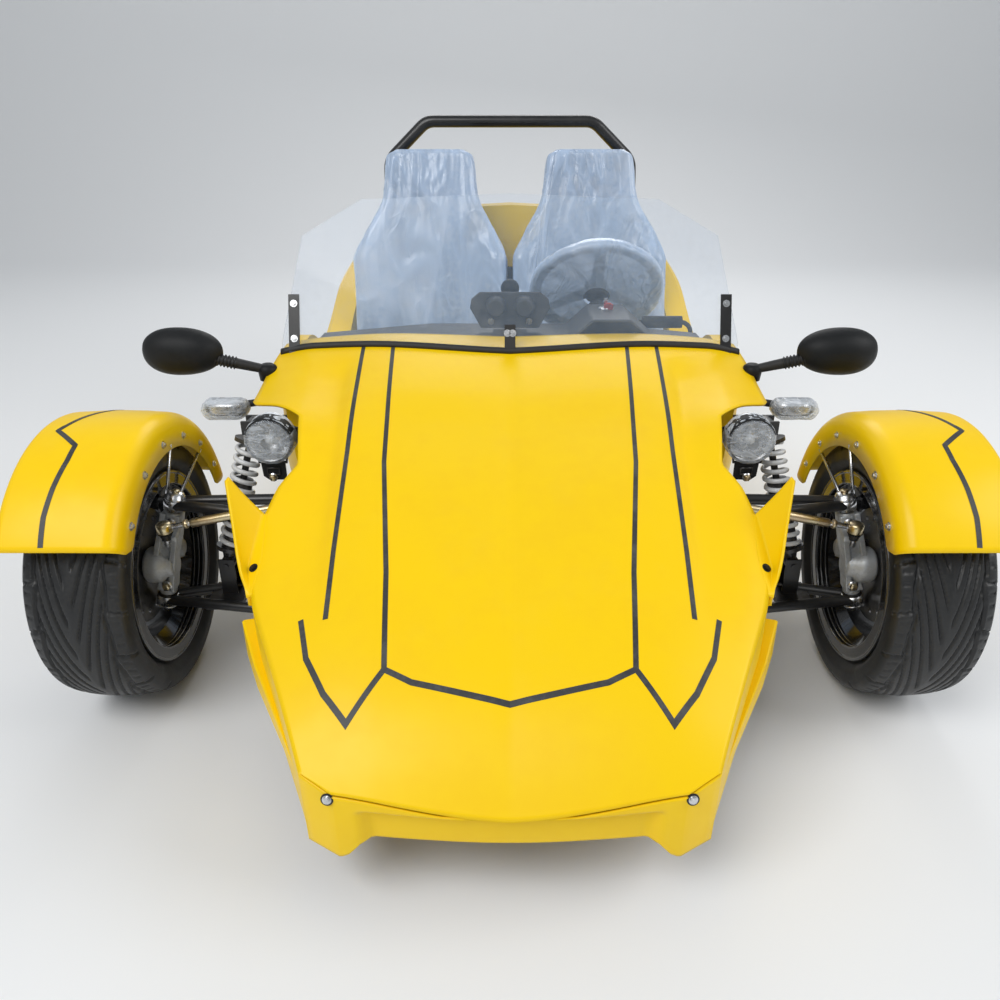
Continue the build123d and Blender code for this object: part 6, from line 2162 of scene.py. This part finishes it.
def dashTop(x):
    crown = straightValue(
        [(0, dash["top"]), (dash["flat"], dash["top"]), (dash["half"], dash["side"])], abs(x),
    )
    off = abs(x - dash["humpX"])
    hump = straightValue(
        [(0, dash["humpTop"]), (dash["humpHalf"], dash["humpTop"]), (dash["humpFoot"], 600)], off,
    )
    return max(crown, hump) if off < dash["humpFoot"] else crown


def buildDash():
    points = []
    rows, columns = 30, 190
    for i in range(rows):
        t = i / (rows - 1)
        for j in range(columns):
            x = lerp(-dash["half"], dash["half"], j / (columns - 1))
            top = dashTop(x)
            # top face, rounded brow, then down the back edge
            if t < 0.6:
                y = lerp(dash["front"], dash["back"] - 14, t / 0.6)
                z = top - 3 * (t / 0.6) ** 2
            elif t < 0.85:
                angle = math.pi / 2 * (t - 0.6) / 0.25
                y = dash["back"] - 14 + 14 * math.sin(angle)
                z = top - 3 - 14 * (1 - math.cos(angle))
            else:
                y = dash["back"]
                z = lerp(top - 17, min(top - 24, dash["low"] + 6), (t - 0.85) / 0.15)
            points.append(at(x, y, z))
    obj = cleanObject("dashCover", points, gridFaces(rows, columns))
    return walled(facing(obj, (0, 0, 1)), dash["wall"])


piece(buildDash(), "root", plasticGrey, ["dashboard"])

# Ignition switch with its key and red tag on the hump
switchBarrel = [(-0.004, 0.0), (-0.004, 0.013), (0.003, 0.013), (0.005, 0.010), (0.005, 0.0)]
tagOutline = [(-9, -58), (9, -58), (12, -50), (11, -6), (4, 0), (-4, 0), (-11, -6), (-12, -50)]
key = flatPlate(
    "key", [(-1.2, 0), (1.2, 0), (1.2, 22), (-1.2, 22)], at(228, -222, 679), (0, 1, 0), (0, 0, 1), 8,
)
tag = flatPlate("keyTag", tagOutline, at(238, -237, 693), (1, 0, 0), (0, -0.5, 0.86), 3)
switch = [
    turned(zincBright, switchBarrel, at(228, -222, 675), (0, 0, 1), 28), setMaterial(key, zincBright),
    setMaterial(tag, keyRed),
]
piece(joined("keySwitch", switch), "root")
print("dash made")


# Headlight brackets: black plate with a slot's edge, a hoop and a gold bolt under each lamp

lampBracket = {
    # x and z from the lamp's middle; the hoop also has y
    "outline": [(-24, -50), (24, -50), (22, -78), (12, -86), (-20, -86), (-24, -78)],
    "slot": [(-12, -60), (12, -60), (12, -74), (-12, -74)],
    "hoop": [(-30, 20, -14), (-27, 12, -48), (27, 12, -48), (30, 20, -14)],
}


def buildBracket(side):
    x, y, z = headlight["x"], headlight["y"], headlight["z"]
    outline = [((x + a) * side, z + b) for a, b in lampBracket["outline"]]
    tab = flatPlate("tab", outline, at(0, y + 14, 0), (1, 0, 0), (0, 0, 1), 3)
    slot = [at((x + a) * side, y + 9.5, z + b) for a, b in lampBracket["slot"]]
    hoop = [at((x + a) * side, y + b, z + c) for a, b, c in lampBracket["hoop"]]
    bars = [tubeObject("slot", slot + slot[:1], 0.0022, 8), tubeObject("hoop", hoop, 0.0034, 10)]
    boltX, boltZ = (x + 2) * side, z - 79
    return [
        setMaterial(tab, plasticBlack), *painted(bars, frameBlack),
        turned(zincBright, rod(0, 0.0015, 0.009), at(boltX, y + 8, boltZ), (0, -1, 0), 22),
        hexNut(zincGold, at(boltX, y + 6.5, boltZ), (0, -1, 0), 12, 6),
    ]


piece(joined("lampBrackets", buildBracket(1) + buildBracket(-1)), "root")
print("brackets made")


# Rounded rim flanges and thin raised ribs inside the barrels, in a lighter black that paints their highlights

rims = {
    "front": {"half": 76, "lip": 7, "flange": 197, "seat": 178},
    "rear": {"half": 89, "lip": 7, "flange": 208, "seat": 190.5},
    "ribs": [(0.94, 9.5), (0.80, 8.4), (0.6, 16)], "ribRadius": 1.7, "lipRadius": 4.2,
}


def ringAround(centre, x, radius, thick, sides=120):
    # a round ring about the axle
    profile = []
    for k in range(13):
        angle = 2 * math.pi * k / 12
        profile.append(((x + thick * math.cos(angle)) / 1000, (radius + thick * math.sin(angle)) / 1000))
    return turned(rimEdgeHighlight, profile, at(*centre), (1, 0, 0), sides)


def buildRimTrim(label, centre, size):
    shapes = []
    for way in (1, -1):
        lipX = (size["half"] + size["lip"] - 2.4) * way
        shapes.append(ringAround(centre, lipX, size["flange"] - 3.6, rims["lipRadius"]))
        shapes.append(ringAround(centre, lipX, size["seat"] - 7, rims["lipRadius"] * 0.7))
        for share, drop in rims["ribs"]:
            shapes.append(
                ringAround(centre, size["half"] * share * way, size["seat"] - drop, rims["ribRadius"]),
            )
    return allSmooth(joined(f"rimTrim{label}", shapes))


for side, label in bothSides:
    hubX, hubY, hubZ = frontHub
    ringed = buildRimTrim(label, (hubX * side, hubY, hubZ), rims["front"])
    piece(ringed, f"front_wheel_{label.lower()}")
piece(buildRimTrim("Rear", rearHub, rims["rear"]), "rear_wheel")
print("rims trimmed")


# Brake hoses from the calipers to the upper ball joints

hoses = {
    "route": [
        (724, -638, 311.5), (706, -634, 318), (690, -640, 352), (684, -676, 392), (680, -712, 420),
        (671, -738, 436),
    ],
    "bend": 0.02, "radius": 0.0042,
}
for side, label in bothSides:
    route = [sidePoint(point, side) for point in hoses["route"]]
    hose = tubeObject("hose", roundedPath(route, hoses["bend"]), hoses["radius"], 14)
    clip = turned(zincBright, rod(-0.008, 0.008, 0.0058), route[0], route[0] - route[1], 6)
    hose = joined(f"brakeHose{label}", [setMaterial(hose, rubberBlack), clip])
    piece(hose, f"upright_{label.lower()}")
print("hoses made")


# Button screws along the lower edges of the side panels and rear body, found on the CAD skins

def skinPoint(skin, side, y, low, high, lift):
    # first point of the skin met from outside while rising from low, then a little higher
    tree = BVHTree.FromPolygons(
        [v.co for v in skin.data.vertices], [p.vertices for p in skin.data.polygons],
    )
    inwards = Vector((-side, 0, 0))
    outside = 900 * side
    z = low
    while z < high:
        place = tree.ray_cast(at(outside, y, z), inwards)[0]
        if place is not None and place.x * side > 0.1:
            place, normal = tree.ray_cast(at(outside, y, z + lift), inwards)[:2]
            if place is None:
                return None
            return place, normal if normal.x * side > 0 else -normal
        z += 4
    return None


screwRows = {
    "side_panels": {"places": [-480, -340, -190, -40, 110, 260, 410], "low": 120, "high": 420, "lift": 22},
    "rear_body": {"places": [520, 640, 760, 880, 1010, 1140, 1260], "low": 300, "high": 680, "lift": 20},
}
screws = []
for node, row in screwRows.items():
    for side in (1, -1):
        for y in row["places"]:
            found = skinPoint(nodes[node], side, y, row["low"], row["high"], row["lift"])
            if found is not None:
                screws.append(found)
piece(boltRow("bodyScrews", screws, zincBright, 5, 2.5, 8, 1.2, 16), "root")
print("body screws", len(screws))


# Drive chain: links round both sprockets, placed by Geometry Nodes

chainPath = {
    "x": 124, "front": (610, 288, 34), "rear": (1050, 300, 96), "pitch": 12.7, "rise": 6.5,
    "plateHalf": 5.2, "plateGap": 7.2, "roller": 4.2,
}


def buildLinkTree():
    tree, start = newTree("chainLinks", [
        ("Geometry", "Geometry", None), ("Pitch", "Float", 0.0127), ("Plate Height", "Float", 0.01),
        ("Plate Gap", "Float", 0.008), ("Roller Radius", "Float", 0.004), ("Material", "Material", None),
    ])
    shapes = []
    for way in (1, -1):
        size = addNode(
            tree, "ShaderNodeCombineXYZ", X=0.0018, Y=mathOf(tree, "MULTIPLY", start["Pitch"], 1.3),
            Z=start["Plate Height"],
        )
        plate = addNode(tree, "GeometryNodeMeshCube", Size=size.outputs[0])
        offset = addNode(
            tree, "ShaderNodeCombineXYZ", X=mathOf(tree, "MULTIPLY", start["Plate Gap"], 0.5 * way),
        )
        move = addNode(
            tree, "GeometryNodeTransform", Geometry=plate.outputs["Mesh"], Translation=offset.outputs[0],
        )
        shapes.append(move.outputs[0])
    roller = addNode(
        tree, "GeometryNodeMeshCylinder", Vertices=12, Radius=start["Roller Radius"],
        Depth=mathOf(tree, "MULTIPLY", start["Plate Gap"], 1.35),
    )
    lay = addNode(
        tree, "GeometryNodeTransform", Geometry=roller.outputs["Mesh"], Rotation=(0, math.pi / 2, 0),
    )
    shapes.append(lay.outputs[0])
    turn = addNode(tree, "FunctionNodeEulerToRotation", Euler=pointVector(tree, "turn"))
    places = addNode(
        tree, "GeometryNodeInstanceOnPoints", Points=start["Geometry"], Instance=joinedShapes(tree, shapes),
        Rotation=turn.outputs[0],
    )
    return finishTree(tree, places.outputs[0], start["Material"])


def buildChain():
    frontY, frontZ, small = chainPath["front"]
    rearY, rearZ, big = chainPath["rear"]
    small += chainPath["rise"]
    big += chainPath["rise"]
    run = math.hypot(rearY - frontY, rearZ - frontZ)
    rise = math.atan2(rearZ - frontZ, rearY - frontY)
    swing = math.atan2(big - small, run)
    up, down = rise + math.pi / 2 + swing, rise - math.pi / 2 - swing
    route = []
    for count, first, last, y, z, reach in (
        (60, up, down, rearY, rearZ, big), (30, down, up - 2 * math.pi, frontY, frontZ, small),
    ):
        for i in range(count + 1):
            angle = lerp(first, last, i / count)
            route.append((y + reach * math.cos(angle), z + reach * math.sin(angle)))
    route.append(route[0])
    lengths, yTable, zTable = routeTables(route)
    count = int(lengths[-1] / chainPath["pitch"])
    places, turns = [], []
    for i in range(count):
        here = lengths[-1] * i / count
        ahead = (here + 2) % lengths[-1]
        y, z = straightValue(yTable, here), straightValue(zTable, here)
        y1, z1 = straightValue(yTable, ahead), straightValue(zTable, ahead)
        places.append(at(chainPath["x"], y, z))
        turns.append((math.atan2(z1 - z, y1 - y), 0, 0))
    obj = pointObject("driveChain", places, "turn", turns)
    return runTree(obj, buildLinkTree(), {
        "Pitch": chainPath["pitch"] / 1000, "Plate Height": chainPath["plateHalf"] * 2 / 1000,
        "Plate Gap": chainPath["plateGap"] / 1000, "Roller Radius": chainPath["roller"] / 1000,
        "Material": chainSteel,
    })


piece(buildChain(), "root", None, ["chain"])
print("chain made")


# Tail: lamp bezels, plate bolts, muffler bands, a thin black disc as painted shade in the outlet, axle nuts

tail = {
    "lampX": 60, "lampZ": 682, "lampIn": 14,
    "bezel": [(-0.010, 0.0243), (-0.010, 0.0275), (0.009, 0.0268), (0.011, 0.0255), (0.011, 0.0243)],
    "dome": [(0.0139, 0.0238), (0.017, 0.021), (0.0195, 0.014), (0.0205, 0.0)],
    # muffler: from its front end to the outlet, with bands along it
    "muffler": (-288, 880, 410), "outlet": (-288, 1310, 464), "slope": (0, 400, 50), "bandsAt": (60, 330),
    "band": [(-0.011, 0.0522), (-0.011, 0.0538), (0.011, 0.0538), (0.011, 0.0522)],
    "plateScrews": [(-48, 1384.2, 468), (48, 1384.2, 468)],
}


def buildTail():
    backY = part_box("tail_lamps")[1][1] * 1000
    shapes = []
    for side in (1, -1):
        place = at(tail["lampX"] * side, backY - tail["lampIn"], tail["lampZ"])
        shapes.append(turned(plasticBlack, tail["bezel"], place, (0, 1, 0), 40))
        shapes.append(turned(lensRed, tail["dome"], place, (0, 1, 0), 40))
    pipe = Vector(tail["slope"]).normalized()
    for along in tail["bandsAt"]:
        centre = at(*tail["muffler"]) + pipe * along / 1000
        shapes.append(turned(zincBright, tail["band"], centre, pipe, 56))
        lug = centre + Vector((0, 0, 0.06)) + Vector((-0.008, 0, -0.002))
        shapes.append(hexNut(zincBright, lug, (1, 0, 0), 10, 16))
    # a thin black disc over the pipe's end paints the shade inside the open outlet
    outlet = at(*tail["outlet"]) + pipe * 0.0004
    shapes.append(turned(rubberBlack, rod(0.0, 0.0004, 0.0195), outlet, pipe, 32))
    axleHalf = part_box("swing_arm")[1][0] * 1000 + 0.2
    for side in (1, -1):
        end = at(*rearHub) + Vector((axleHalf * side / 1000, 0, 0))
        shapes.append(hexNut(zincBright, end, (side, 0, 0), 27, 12))
    return joined("tailFittings", shapes)


piece(buildTail(), "root")
plateScrews = [(at(*place), (0, 1, 0.02)) for place in tail["plateScrews"]]
piece(boltRow("plateScrews", plateScrews, zincBright, head=4, height=2, sides=16), "root")
print("tail made")


# Floor, backdrop, lights and camera

studio = {
    "floorSize": 14.0, "wallY": 6.0, "pale": (0.86, 0.87, 0.88), "keyPower": 165, "fillPower": 80,
    "backPower": 70, "worldStrength": 0.39,
}


def paleMaterial(name):
    material = bpy.data.materials.new(name)
    material.use_nodes = True
    tree = material.node_tree
    shader = tree.nodes["Principled BSDF"]
    shader.inputs["Base Color"].default_value = (*studio["pale"], 1)
    shader.inputs["Roughness"].default_value = 0.7
    shader.inputs["Specular IOR Level"].default_value = 0.2
    return material


def buildSweep():
    # floor that curves up into a wall behind the car
    half = studio["floorSize"] / 2
    profile = [(-half, 0.0), (studio["wallY"] - 2, 0.0)]
    for i in range(1, 13):
        angle = math.pi / 2 * i / 12
        profile.append((studio["wallY"] - 2 + 2 * math.sin(angle), 2 - 2 * math.cos(angle)))
    profile.append((studio["wallY"], 7.0))
    points = []
    for y, z in profile:
        points.append((-half, y, z - 0.0005))
        points.append((half, y, z - 0.0005))
    obj = cleanObject("studioSweep", points, gridFaces(len(profile), 2))
    return setMaterial(facing(obj, (0, 0, 1)), paleMaterial("studioPale"))


buildSweep()


def areaLight(name, place, target, size, power, colour=(1, 1, 1)):
    data = bpy.data.lights.new(name, "AREA")
    data.shape = "RECTANGLE"
    data.size = size[0]
    data.size_y = size[1]
    data.energy = power
    data.color = colour
    obj = linked(name, data)
    obj.location = place
    obj.rotation_euler = (Vector(target) - Vector(place)).to_track_quat("-Z", "Y").to_euler()


areaLight("keyLight", (-2.2, -3.6, 4.4), (0, -0.3, 0.4), (3.4, 2.6), studio["keyPower"])
areaLight("fillLight", (3.8, -1.6, 3.0), (0, -0.2, 0.4), (2.6, 2.6), studio["fillPower"])
areaLight("backLight", (0.5, 3.8, 3.6), (0, 0.2, 0.6), (3.4, 2.0), studio["backPower"])

world = bpy.data.worlds.new("studioWorld")
bpy.context.scene.world = world
world.use_nodes = True
worldTree = world.node_tree
worldShade = worldTree.nodes["Background"]
lightPath = worldTree.nodes.new("ShaderNodeLightPath")
seen = mathOf(
    worldTree, "MAXIMUM", lightPath.outputs["Is Camera Ray"], lightPath.outputs["Is Transmission Ray"],
)
strength = rangeOf(worldTree, seen, 0.0, 1.0, studio["worldStrength"], 1.0)
worldTree.links.new(strength, worldShade.inputs["Strength"])
worldShade.inputs["Color"].default_value = (0.88, 0.92, 0.96, 1)

view = {"place": (0, -2.241, 1.142), "pitch": 26.0, "lens": 29.88, "shift": -0.010}
cameraData = bpy.data.cameras.new("photoCamera")
cameraData.lens = view["lens"]
cameraData.sensor_width = 36
cameraData.shift_x = view["shift"]
camera = linked("photoCamera", cameraData)
camera.location = view["place"]
camera.rotation_euler = (math.radians(90 - view["pitch"]), 0, 0)
bpy.context.scene.camera = camera
bpy.context.scene.view_settings.view_transform = "Standard"
print("stage made")
